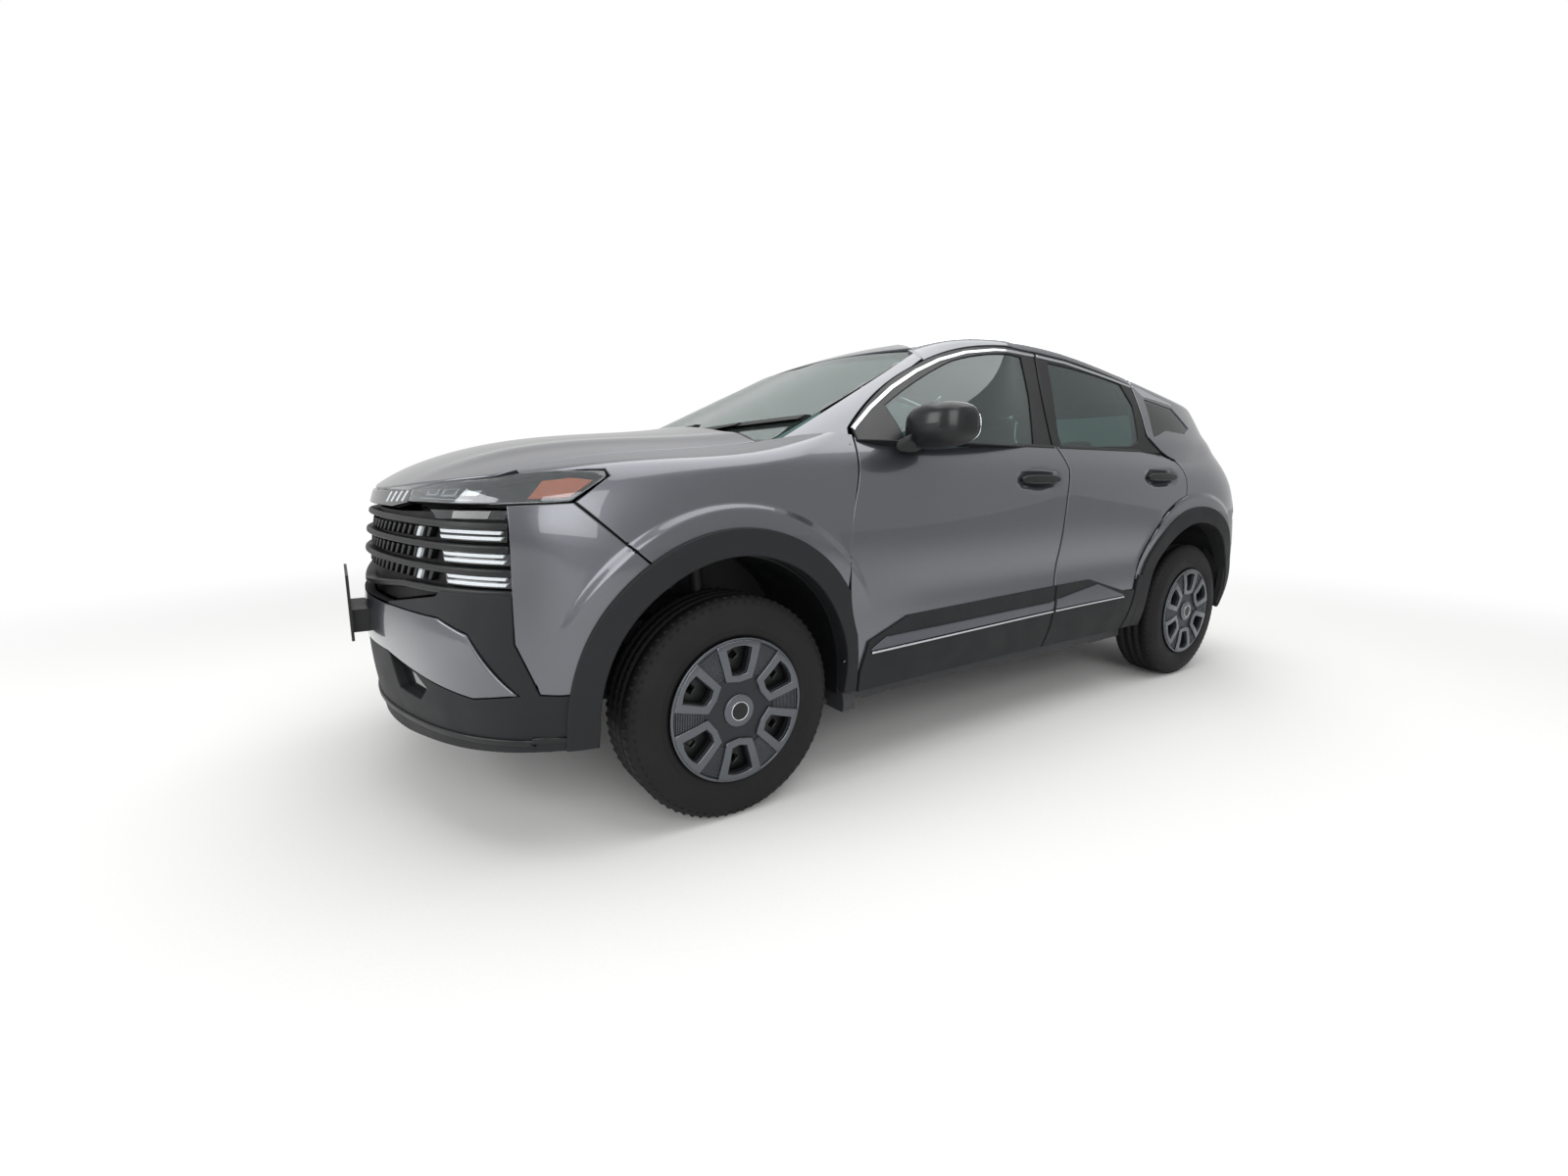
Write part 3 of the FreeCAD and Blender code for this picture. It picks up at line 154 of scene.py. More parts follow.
def arc_through(start: tuple, middle: tuple, end: tuple, shares: Sequence[float]) -> Loop:
    """Points at shares of the angle along the circular arc through three points.

    Args:
        start: First point.
        middle: A point on the arc.
        end: Last point.
        shares: Shares of the arc, from 0 to 1.

    Returns:
        The points.
    """
    (ax, ay), (bx, by), (cx, cy) = start, middle, end
    d = 2 * (ax * (by - cy) + bx * (cy - ay) + cx * (ay - by))
    aa, bb, cc = ax ** 2 + ay ** 2, bx ** 2 + by ** 2, cx ** 2 + cy ** 2
    ux = (aa * (by - cy) + bb * (cy - ay) + cc * (ay - by)) / d
    uy = (aa * (cx - bx) + bb * (ax - cx) + cc * (bx - ax)) / d
    radius = math.hypot(ax - ux, ay - uy)
    t0 = math.atan2(ay - uy, ax - ux)
    turn = (math.atan2(cy - uy, cx - ux) - t0 + math.pi) % (2 * math.pi) - math.pi
    return [(ux + radius * math.cos(t0 + turn * f), uy + radius * math.sin(t0 + turn * f)) for f in shares]


def knuckle_of(start: tuple, end: tuple, bulge: float) -> tuple[float, float]:
    """A corner's middle, which stands off its chord by a share of the chord's length."""
    dx, dy = end[0] - start[0], end[1] - start[1]
    return ((start[0] + end[0]) / 2 - dy * bulge, (start[1] + end[1]) / 2 + dx * bulge)


def lower_knots(row: tuple) -> Loop:
    """The contour of one level section of the lower body, from the left front arch round the nose."""
    _, nose, cx, cy, ex, ey, ya, yd, ys, yh, yr, qx, qy, tx, ty, tail = row
    c, e = (cx, ARCH_HALF - cy), (ex, ARCH_HALF - ey)
    q, t = (WHEELBASE + qx, ARCH_HALF - qy), (WHEELBASE + tx, ARCH_HALF - ty)
    front = arc_through((c[0], -c[1]), (-NOSE + nose, 0), c, QUARTERS)
    back = arc_through(t, (TAIL - tail, 0), (t[0], -t[1]), QUARTERS)
    turn = [knuckle_of(c, e, 0.07), e, (0, ARCH_HALF - ya)]
    return [(x, -y) for x, y in reversed(turn)] + front + turn + [
        (HINGE_X, ARCH_HALF - yd), (SEAM_X, WAIST_HALF - ys), (WHEELBASE - 400, ARCH_HALF - yh),
        (WHEELBASE, ARCH_HALF - yr), q, knuckle_of(q, t, 0.10)] + back


def green_knots(row: tuple) -> Loop:
    """The right-hand contour of one level section of the greenhouse, with knots past both ends."""
    _, screen, wx, wy, px, py, ys, qx, qy, tx, ty, back = row
    wide = GLASS_FOOT_HALF
    w, p = (wx, wide - wy), (px, wide - py)
    q, t = (WHEELBASE + qx, wide - qy), (WHEELBASE + tx, wide - ty)
    front = arc_through((w[0], -w[1]), (screen, 0), w, QUARTERS)
    rear = arc_through(t, (WHEELBASE + back, 0), (t[0], -t[1]), QUARTERS)
    return front + [knuckle_of(w, p, 0.06), p, (SEAM_X, wide - ys), q, knuckle_of(q, t, 0.12)] + rear


def crown(table: tuple, top: float, x: np.ndarray, y: np.ndarray) -> np.ndarray:
    """Height of a crowned lid at points of the plan, in millimetres."""
    rows = np.array(table, float)
    high, drop = cubic(rows[:, 0], rows[:, 1:], np.clip(x, rows[0, 0], rows[-1, 0])).T
    radius = (CROWN_HALF ** 2 + drop ** 2) / (2 * drop)
    return top + high - radius + np.sqrt(np.maximum(radius ** 2 - np.asarray(y) ** 2, 1.0))


def open_line(points: Sequence[tuple], step: float = 14.0) -> Loop:
    """Divide an open line's runs and arcs, keeping both ends.

    Args:
        points: (a, b) corners; a third entry "via" makes a point the middle of an arc.
        step: Longest piece of an edge.

    Returns:
        The line's points.
    """
    out: Loop = []
    i = 0
    while i < len(points) - 1:
        a, b = points[i][:2], points[i + 1][:2]
        if len(points[i + 1]) == 3:
            c = points[i + 2][:2]
            n = max(2, round((math.dist(a, b) + math.dist(b, c)) / step))
            out += arc_through(a, b, c, [k / n for k in range(n)])
            i += 2
        else:
            n = max(1, round(math.dist(a, b) / step))
            out += [(a[0] + (b[0] - a[0]) * k / n, a[1] + (b[1] - a[1]) * k / n) for k in range(n)]
            i += 1
    return out + [tuple(points[-1][:2])]


def densify(points: Sequence[tuple], step: float = 14.0) -> Loop:
    """Round a closed outline's arcs and divide its edges, without its first point at the end."""
    return open_line(list(points) + [points[0]], step)[:-1]


def twice_area(ring: np.ndarray) -> float:
    """Twice the signed area inside a closed ring."""
    return float(np.sum(ring[:, 0] * np.roll(ring[:, 1], -1) - np.roll(ring[:, 0], -1) * ring[:, 1]))


def grow(loop: Loop, by: float) -> Loop:
    """Move a closed loop outwards by a distance, or inwards by a negative one."""
    pts = np.array(loop)
    turn = 1.0 if twice_area(pts) > 0 else -1.0
    sides = []
    for run in (np.roll(pts, -1, 0) - pts, pts - np.roll(pts, 1, 0)):
        side = np.stack([run[:, 1], -run[:, 0]], 1) * turn
        sides.append(side / (np.linalg.norm(side, axis=1)[:, None] + 1e-9))
    out = sides[0] + sides[1]
    out /= np.maximum(np.sum(out * sides[0], axis=1), 0.35)[:, None]
    return [tuple(p) for p in pts + out * by]


def bisect(low: np.ndarray, high: np.ndarray, below: Callable[[np.ndarray], np.ndarray],
           rounds: int = 30) -> np.ndarray:
    """Halve intervals towards the places where below() turns false."""
    for _ in range(rounds):
        middle = (low + high) / 2
        less = below(middle)
        low, high = np.where(less, middle, low), np.where(less, high, middle)
    return low


def along(line: np.ndarray, at: np.ndarray) -> np.ndarray:
    """Points of a polyline at lengths from its start."""
    length = np.concatenate([[0], np.cumsum(np.linalg.norm(np.diff(line, axis=0), axis=1))])
    return np.stack([np.interp(at, length, line[:, k]) for k in range(2)], 1)


def wall_below(out: np.ndarray, zs: np.ndarray, over: np.ndarray) -> np.ndarray:
    """A wall's line from its edge downwards.

    Args:
        out: Distances from the middle at the heights.
        zs: Rising heights.
        over: How far each point of the wall stands over the lid, which meets it at the edge.

    Returns:
        The (distance, height) points, the edge first.
    """
    k = int(np.argmax(over > 0)) or len(zs) - 1
    f = over[k - 1] / (over[k - 1] - over[k])
    edge = [out[k - 1] + f * (out[k] - out[k - 1]), zs[k - 1] + f * (zs[k] - zs[k - 1])]
    return np.concatenate([[edge], np.stack([out[:k][::-1], zs[:k][::-1]], 1)])


def folded(wall: np.ndarray, lid: np.ndarray, at: np.ndarray, rounding: float) -> np.ndarray:
    """Points along a wall and a lid, rounded where they meet.

    Args:
        wall: The wall's line from the edge downwards.
        lid: The lid's line from the edge inwards.
        at: Lengths from the edge, negative down the wall.
        rounding: Length of each that the round takes.

    Returns:
        The points.
    """
    line = np.where((at < 0)[:, None], along(wall, -at), along(lid, at))
    a, c = (along(side, np.array([rounding]))[0] for side in (wall, lid))
    near = np.abs(at) < rounding
    u = ((at[near] + rounding) / (2 * rounding))[:, None]
    line[near] = (1 - u) ** 2 * a + 2 * u * (1 - u) * wall[0] + u ** 2 * c
    return line


class Chart:
    """A smooth surface over a flat chart, sampled on a fine grid; the right-hand side has y > 0."""

    def __init__(self, a: np.ndarray, b: np.ndarray, grid: np.ndarray) -> None:
        """Keep the grid.

        Args:
            a: Even positions along the first chart axis.
            b: Even positions along the second chart axis.
            grid: Points in millimetres, shape (len(a), len(b), 3).
        """
        self.a, self.b, self.grid = a, b, grid
        self.turned = True

    def raw(self, a: np.ndarray, b: np.ndarray) -> np.ndarray:
        """Points of the plain surface, by bicubic interpolation."""
        fa = np.clip((np.asarray(a, float) - self.a[0]) / (self.a[1] - self.a[0]), 1, len(self.a) - 3)
        fb = np.clip((np.asarray(b, float) - self.b[0]) / (self.b[1] - self.b[0]), 1, len(self.b) - 3)
        ia, ib = np.floor(fa).astype(int), np.floor(fb).astype(int)
        ta, tb = fa - ia, fb - ib

        def weights(t: np.ndarray) -> list[np.ndarray]:
            """The four Catmull-Rom weights."""
            return [(-t ** 3 + 2 * t ** 2 - t) / 2, (3 * t ** 3 - 5 * t ** 2 + 2) / 2,
                    (-3 * t ** 3 + 4 * t ** 2 + t) / 2, (t ** 3 - t ** 2) / 2]

        wa, wb = weights(ta), weights(tb)
        out = np.zeros((len(fa), 3))
        for i in range(4):
            for j in range(4):
                out += (wa[i] * wb[j])[:, None] * self.grid[ia + i - 1, ib + j - 1]
        return out

    def frame(self, a: np.ndarray, b: np.ndarray) -> tuple[np.ndarray, ...]:
        """Points, outward normals and both tangents at chart positions."""
        a, b = np.asarray(a, float), np.asarray(b, float)
        e = 2.0
        da = (self.raw(a + e, b) - self.raw(a - e, b)) / (2 * e)
        db = (self.raw(a, b + e) - self.raw(a, b - e)) / (2 * e)
        normal = np.cross(da, db)
        normal /= np.linalg.norm(normal, axis=1)[:, None] + 1e-12
        return self.raw(a, b), -normal, da, db

    def found(self, points: Loop, axis: int, lo: float, hi: float) -> Loop:
        """Chart positions at each point's height where a coordinate, which rises, takes its value."""
        want = np.array(points, float)
        spot = bisect(np.full(len(want), lo), np.full(len(want), hi),
                      lambda a: self.raw(a, want[:, 1])[:, axis] < want[:, 0])
        return list(zip(spot, want[:, 1]))


class SkinChart(Chart):
    """A chart of (length along the level contour, height) over a table of level sections."""

    def __init__(self, table: tuple, knots: Callable[[tuple], list], z0: float, z1: float,
                 reference: int, middle: int, reach: int) -> None:
        """Skin the table's sections.

        Args:
            table: Rows of level sections, height first.
            knots: Turns a row into contour knots from the middle of the nose to the middle of the tail,
                with two more past each end.
            z0: Lowest height of the chart.
            z1: Highest height of the chart.
            reference: Row whose contour gives the lengths.
            middle: Knot at the middle of the nose, where the length is zero.
            reach: Last knot that a front-view point may lie on.
        """
        self.reach = reach
        rows = np.array([knots(row) for row in table])
        heights = np.array([row[0] for row in table], float)
        contour = rows[reference]
        length = np.concatenate([[0], np.cumsum(np.linalg.norm(np.diff(contour, axis=0), axis=1))])
        length -= length[middle]
        self.knots = length
        z = np.arange(z0, z1 + 0.1, 6.0)
        s = np.arange(length[0], length[-1], 7.0)
        level = cubic(heights, rows, z)
        plan = cubic(length, np.swapaxes(level, 0, 1), s)
        grid = np.zeros((len(s), len(z), 3))
        grid[:, :, :2] = plan
        grid[:, :, 2] = z[None, :]
        super().__init__(s, z, grid)

    def side(self, points: Loop) -> Loop:
        """Chart positions of side-view (x, z) points between the nose's and the tail's corners."""
        return self.found(points, 0, 1.0, self.knots[-3] - 1.0)

    def front(self, points: Loop) -> Loop:
        """Chart positions of front-view (y, z) points of the nose or the screen, either half."""
        return self.found(points, 1, self.knots[0] + 1, self.knots[self.reach] - 1)


class TailChart(Chart):
    """The tail and quarters on rays from a point of the middle line, folded over the roof's crown.

    The first axis is the ray's angle from the right-hand side times TAIL_RADIUS, the second the length
    from the crest, negative down the side.
    """

    def __init__(self, lower: SkinChart, green: SkinChart) -> None:
        """Sample the rays from the lower skin and the greenhouse, blended where they meet."""
        self.angles = np.arange(-0.3, math.pi + 0.31, 0.012)
        ts = np.arange(-1250, 255.1, 7.0)
        zs = np.arange(216, 1600.1, 8.0)
        radius = np.stack([self.radii(lower, green, z) for z in zs], 1)
        grid = np.zeros((len(self.angles), len(ts), 3))
        for i, angle in enumerate(self.angles):
            side, up = math.cos(angle), math.sin(angle)
            over = zs - crown(ROOF, ROOF_TOP, TAIL_CENTRE + radius[i] * up, radius[i] * side)
            over[:60] = -1
            wall = wall_below(radius[i], zs, over)
            inner = np.linspace(wall[0, 0], wall[0, 0] - 300, 90)
            top = np.stack([inner, crown(ROOF, ROOF_TOP, TAIL_CENTRE + inner * up, inner * side)], 1)
            line = folded(wall, top, ts, 26.0)
            grid[i] = np.stack([TAIL_CENTRE + line[:, 0] * up, line[:, 0] * side, line[:, 1]], 1)
        super().__init__(self.angles * TAIL_RADIUS, ts, grid)
        self.low = int(np.searchsorted(ts, 0.0))

    def radii(self, lower: SkinChart, green: SkinChart, z: float) -> np.ndarray:
        """Distances of the blended skin at one height along all rays."""
        out = []
        for chart in (lower, green):
            if not chart.b[1] <= z <= chart.b[-2]:
                out.append(np.zeros(len(self.angles)))
                continue
            start = chart.knots[-11] if chart is lower else chart.knots[6]
            a = np.arange(start, chart.knots[-1] - 8, 7.0)
            x, y, _ = chart.raw(a, np.full(len(a), z)).T
            seen = np.unwrap(np.arctan2(x - TAIL_CENTRE, y))
            far = np.hypot(x - TAIL_CENTRE, y)
            half = seen <= math.pi / 2
            mirror = np.minimum(self.angles, math.pi - self.angles)
            order = np.argsort(seen[half])
            out.append(np.interp(mirror, seen[half][order], far[half][order]))
        both = np.maximum(out[0], out[1])
        if min(out[0].max(), out[1].max()) > 0:
            soft = 30 * math.sin(math.pi * np.clip((z - 1104) / 170, 0, 1)) ** 2
            both = (out[0] + out[1] + np.sqrt((out[0] - out[1]) ** 2 + soft ** 2)) / 2
        return both

    def depth_at(self, a: np.ndarray, z: np.ndarray) -> np.ndarray:
        """Second chart position of a height on each ray's side."""
        out = np.zeros(len(a))
        spot = np.clip((a - self.a[0]) / (self.a[1] - self.a[0]), 0, len(self.a) - 2)
        for k, (f, height) in enumerate(zip(spot, z)):
            i = int(f)
            parts = [np.interp(height, self.grid[j, :self.low, 2], self.b[:self.low]) for j in (i, i + 1)]
            out[k] = parts[0] + (parts[1] - parts[0]) * (f - i)
        return out

    def solve(self, points: Loop, axis: int, rising: bool, end: float) -> Loop:
        """Chart positions where a coordinate takes its value at a height below the crest."""
        want = np.array(points, float)
        spot = bisect(np.full(len(want), self.a[1]), np.full(len(want), end), lambda a: (
            self.raw(a, self.depth_at(a, want[:, 1]))[:, axis] < want[:, 0]) == rising, TAIL_ROUNDS)
        return list(zip(spot, self.depth_at(spot, want[:, 1])))

    def side(self, points: Loop) -> Loop:
        """Chart positions of side-view (x, z) points of the right-hand side."""
        return self.solve(points, 0, True, TAIL_MIDDLE)

    def rear(self, points: Loop) -> Loop:
        """Chart positions of rear-view (y, z) points."""
        return self.solve(points, 1, False, self.a[-2])

    def plan(self, points: Loop) -> Loop:
        """Chart positions of plan (x, y) points inside the crest."""
        x, y = np.array(points, float).T
        a, far = np.arctan2(x - TAIL_CENTRE, y) * TAIL_RADIUS, np.hypot(x - TAIL_CENTRE, y)

        def outside(b: np.ndarray) -> np.ndarray:
            """Whether the chart's point is still farther out than the wanted one."""
            spot = self.raw(a, b)
            return np.hypot(spot[:, 0] - TAIL_CENTRE, spot[:, 1]) > far

        return list(zip(a, bisect(np.zeros(len(a)), np.full(len(a), self.b[-2]), outside, TAIL_ROUNDS)))


class TopChart(Chart):
    """A crowned lid over its (x, y) plan."""

    def __init__(self, table: tuple, top: float, x0: float, x1: float) -> None:
        """Sample the crown between two stations."""
        x, y = np.arange(x0, x1, 10.0), np.arange(-870, 870.1, 10.0)
        gx, gy = np.meshgrid(x, y, indexing="ij")
        z = crown(table, top, gx.ravel(), gy.ravel()).reshape(gx.shape)
        super().__init__(x, y, np.stack([gx, gy, z], 2))
        self.turned = False

    def frame(self, a: np.ndarray, b: np.ndarray) -> tuple[np.ndarray, ...]:
        """As a chart's, with the normal upwards."""
        point, normal, da, db = super().frame(a, b)
        return point, -normal, da, db


class ShoulderChart(Chart):
    """Cross-sections that run up a side skin, round the shoulder and inwards over a crown.

    The second axis is the length from the shoulder's edge, negative down the side.
    """

    def __init__(self, skin: SkinChart, table: tuple, top: float, x0: float, x1: float, down: float,
                 inwards: float, rounding: float) -> None:
        """Sample the sections.

        Args:
            skin: The side's surface.
            table: The crown's stations.
            top: The crown's height.
            x0: First section.
            x1: Last section.
            down: Reach down the side.
            inwards: Reach over the crown.
            rounding: Length of the side and of the crown that the round takes.
        """
        xs = np.arange(x0, x1 + 0.1, 12.0)
        ts = np.arange(-down, inwards + 0.1, 6.0)
        zs = skin.b[2:-2]
        grid = np.zeros((len(xs), len(ts), 3))
        for i, x in enumerate(xs):
            flat = skin.side([(x, z) for z in zs])
            y = skin.raw(np.array([p[0] for p in flat]), zs)[:, 1]
            wall = wall_below(y, zs, zs - crown(table, top, np.full(len(zs), x), y))
            inner = np.linspace(wall[0, 0], wall[0, 0] - inwards - 40, 60)
            lid = np.stack([inner, crown(table, top, np.full(60, x), inner)], 1)
            sharper = float(np.clip((560 - x) / 330, 0.3, 1)) if x1 < 600 else 1.0
            grid[i, :, 0] = x
            grid[i, :, 1:] = folded(wall, lid, ts, rounding * sharper)
        super().__init__(xs, ts, grid)

    def by_z(self, points: Loop) -> Loop:
        """Chart positions of side-view (x, z) points below the shoulder."""
        return self.solve(points, 2, self.b[1], 0.0, True)

    def by_y(self, points: Loop) -> Loop:
        """Chart positions of plan (x, y) points inside the shoulder."""
        return self.solve(points, 1, 0.0, self.b[-2], False)

    def solve(self, points: Loop, axis: int, lo: float, hi: float, rising: bool) -> Loop:
        """Find the second chart position at which a coordinate takes its value."""
        want = np.array(points, float)
        spot = bisect(np.full(len(want), lo), np.full(len(want), hi),
                      lambda b: (self.raw(want[:, 0], b)[:, axis] < want[:, 1]) == rising)
        return list(zip(want[:, 0], spot))


@dataclass
class Sheet:
    """Raw mesh data of one or more smooth panels."""

    verts: list = field(default_factory=list)
    normals: list = field(default_factory=list)
    faces: list = field(default_factory=list)
    finish: list = field(default_factory=list)

    def add(self, verts: np.ndarray, normals: np.ndarray, faces: list, finish: list) -> None:
        """Append mesh data, shifting its indices."""
        base = len(self.verts)
        self.verts += [tuple(v) for v in verts]
        self.normals += [tuple(n) for n in normals]
        self.faces += [tuple(base + i for i in f) for f in faces]
        self.finish += finish

    def mirrored(self) -> "Sheet":
        """The same on the other side of the car."""
        return Sheet([(x, -y, z) for x, y, z in self.verts], [(x, -y, z) for x, y, z in self.normals],
                     [tuple(reversed(f)) for f in self.faces], list(self.finish))

    def joined(self, *others: "Sheet") -> "Sheet":
        """This and others together."""
        out = Sheet(list(self.verts), list(self.normals), list(self.faces), list(self.finish))
        for other in others:
            out.add(np.array(other.verts), np.array(other.normals), other.faces, other.finish)
        return out


@dataclass(frozen=True)
class Cut:
    """How a panel is trimmed and hemmed, in millimetres."""

    gap: float = PANEL_GAP
    hem: float = 3.0
    depth: float = 12.0
    lift: float = 0.0
    spacing: float = 26.0
    back: bool = False
    finish: int = 0
    back_finish: int = 0


def inside_all(loops: Sequence[Loop], keep: set[int], drop: set[int],
               spacing: float) -> tuple[np.ndarray, np.ndarray]:
    """Triangulate the region inside some loops and outside others.

    Args:
        loops: Closed loops in chart coordinates.
        keep: Loops that the region lies in.
        drop: Loops that it lies outside of.
        spacing: Distance of the points inside.

    Returns:
        Points and triangles.
    """
    points: list[Vector] = []
    outlines: list[list[int]] = []
    ends = []
    for loop in loops:
        ring = np.array(loop)
        if twice_area(ring) < 0:
            ring = ring[::-1]
        outlines.append(list(range(len(points), len(points) + len(ring))))
        points += [Vector(p) for p in ring]
        ends.append(np.concatenate([ring, np.roll(ring, -1, 0)], axis=1))
    segments = np.concatenate(ends)
    p, run = segments[:, :2], segments[:, 2:] - segments[:, :2]
    first = np.array(loops[min(keep)])
    lo, hi = first.min(0), first.max(0)
    for k, b in enumerate(np.arange(lo[1] + spacing / 2, hi[1], spacing * 0.87)):
        a = np.arange(lo[0] + spacing * (0.5 + 0.5 * (k % 2)), hi[0], spacing)
        if not len(a):
            continue
        spots = np.stack([a, np.full(len(a), b)], 1)
        t = np.einsum("ijk,jk->ij", spots[:, None] - p[None], run) / (np.sum(run ** 2, 1) + 1e-9)
        foot = p[None] + np.clip(t, 0, 1)[:, :, None] * run[None]
        near = np.linalg.norm(spots[:, None] - foot, axis=2).min(1)
        points += [Vector(s) for s in spots[near > spacing * 0.45]]
    verts, _, tris, _, _, inputs = delaunay_2d_cdt(points, [], outlines, 0, 1e-3, True)
    chosen = [tri for tri, owner in zip(tris, inputs) if keep <= set(owner) and not drop & set(owner)]
    used = sorted({i for tri in chosen for i in tri})
    index = {old: new for new, old in enumerate(used)}
    flat = np.array([[index[i] for i in tri] for tri in chosen], int)
    kept = np.array([tuple(v) for v in verts])[used]
    area = np.cross(kept[flat[:, 1]] - kept[flat[:, 0]], kept[flat[:, 2]] - kept[flat[:, 0]])
    flat[area < 0] = flat[area < 0][:, ::-1]
    return kept, flat[np.abs(area) > 1e-6]

def panel(chart: Chart, loops: Sequence[Loop], keep: Sequence[int] = (0,), drop: Sequence[int] = (),
          cut: Cut = Cut(), shape: Callable | None = None) -> Sheet:
    """A smooth panel with a rolled hem over a region of a chart.

    Args:
        chart: The surface.
        loops: Closed loops in chart coordinates.
        keep: Loops that the panel lies in.
        drop: Loops that it stays outside of.
        cut: Trim, hem and depth.
        shape: Extra lift in millimetres at chart positions, or None.

    Returns:
        The panel's mesh data in the vehicle's frame.
    """
    pts, tris = inside_all(loops, set(keep), set(drop), cut.spacing)
    edges = {(tri[i], tri[j]): True for tri in tris for i, j in ((0, 1), (1, 2), (2, 0))}
    rim = [(i, j) for i, j in edges if (j, i) not in edges]
    after = {i: j for i, j in rim}
    before = {j: i for i, j in rim}
    out = np.zeros_like(pts)
    for i in after:
        if i not in before:
            continue
        runs = [pts[i] - pts[before[i]], pts[after[i]] - pts[i]]
        n0, n1 = (np.array([d[1], -d[0]]) / (np.linalg.norm(d) + 1e-9) for d in runs)
        out[i] = (n0 + n1) / max(float((n0 + n1) @ n1), 0.45)
    border = sorted(after)
    half = cut.gap / 2

    def place(spots: np.ndarray, rise: float, tilt: float = 0.0,
              towards: np.ndarray | None = None) -> tuple[np.ndarray, np.ndarray]:
        """Points lifted off the chart, with their normals tilted outwards by an angle."""
        point, normal, da, db = chart.frame(spots[:, 0], spots[:, 1])
        lift, turned = cut.lift + rise, normal
        if shape is not None:
            a, b = spots.T
            e = 3.0
            lift = (lift + shape(a, b))[:, None]
            ga = (shape(a + e, b) - shape(a - e, b)) / (2 * e)
            gb = (shape(a, b + e) - shape(a, b - e)) / (2 * e)
            turned = normal - ga[:, None] * da - gb[:, None] * db
            turned /= np.maximum(np.linalg.norm(turned, axis=1)[:, None], 1e-12)
        point = point + normal * lift
        if towards is not None:
            side = towards[:, :1] * da + towards[:, 1:] * db
            side /= np.linalg.norm(side, axis=1)[:, None] + 1e-9
            turned = turned * math.cos(tilt) + side * math.sin(tilt)
        return point, turned

    faces = [tuple(int(i) for i in tri) for tri in tris]
    finish = [cut.finish] * len(faces)
    layers = [place(pts - out * (half + cut.hem), 0.0)]
    hem = [(cut.hem * (1 - math.sin(t)), -cut.hem * (1 - math.cos(t)), t)
           for t in (math.radians(30), math.radians(60), math.radians(90))]
    hem.append((0.0, -cut.depth, math.pi / 2))
    for inset, drop_by, tilt in hem:
        layers.append(place(pts[border] - out[border] * (half + inset), drop_by, tilt, out[border]))
    rank = {v: k for k, v in enumerate(border)}

    def on_ring(level: int, v: int) -> int:
        """Index of a border point's copy on one ring of the hem."""
        return int(v) if level == 0 else len(pts) + (level - 1) * len(border) + rank[v]

    for level in range(len(hem)):
        for i, j in rim:
            faces.append((on_ring(level, j), on_ring(level, i), on_ring(level + 1, i), on_ring(level + 1, j)))
            finish.append(cut.finish)
    if cut.back:
        start = len(pts) + len(hem) * len(border)
        point, normal = place(pts - out * half, -cut.depth)
        layers.append((point, -normal))
        faces += [tuple(int(start + i) for i in reversed(tri)) for tri in tris]
        finish += [cut.back_finish] * len(tris)
    xyz = np.concatenate([point for point, _ in layers])
    xyz[:, 0] += SETBACK
    if chart.turned:
        faces = [face[::-1] for face in faces]
    sheet = Sheet()
    sheet.add(xyz / 1000, np.concatenate([normal for _, normal in layers]), faces, finish)
    return sheet


def tile(chart: Chart, loop: Loop, lift: float, depth: float, hem: float, spacing: float, finish: int = 0,
         holes: Sequence[Loop] = (), back: bool = False, shape: Callable | None = None) -> Sheet:
    """A panel without a gap that stands off its chart; the sizes are its cut's, in millimetres."""
    return panel(chart, [loop, *holes], (0,), range(1, len(holes) + 1),
                 Cut(0, hem, depth, lift, spacing, back, finish), shape)


class Slot(Enum):
    """The record's material slots."""

    PAINT = "body_paint"
    CLADDING = "cladding"
    GLOSS = "black_gloss"
    GLASS = "glass"
    LAMP = "lamp"
    TAIL = "tail_lamp"
    TYRE = "tyre"
    WHEEL = "wheel_cover"
    SEAT = "seat_cloth"
    TRIM = "trim"
    ALLOY = "alloy"


def linear(colour: str) -> tuple[float, float, float, float]:
    """Turn an sRGB hex colour into linear light."""
    parts = [int(colour[i:i + 2], 16) / 255 for i in (1, 3, 5)]
    out = [c / 12.92 if c <= 0.04045 else ((c + 0.055) / 1.055) ** 2.4 for c in parts]
    return out[0], out[1], out[2], 1.0


def add_node(tree: bpy.types.NodeTree, kind: str, **values: object) -> bpy.types.Node:
    """Add a node, set its options by attribute and its inputs by name.

    Args:
        tree: The tree that it joins.
        kind: Its type name.
        values: Attributes, or inputs as name=value, or sockets to link from.

    Returns:
        The node.
    """
    made = tree.nodes.new(kind)
    for key, value in values.items():
        if hasattr(made, key) and key not in made.inputs:
            setattr(made, key, value)
            continue
        socket = made.inputs[key] if key in made.inputs else made.inputs[key.replace("_", " ")]
        if isinstance(value, bpy.types.NodeSocket):
            tree.links.new(value, socket)
        else:
            socket.default_value = value
    return made


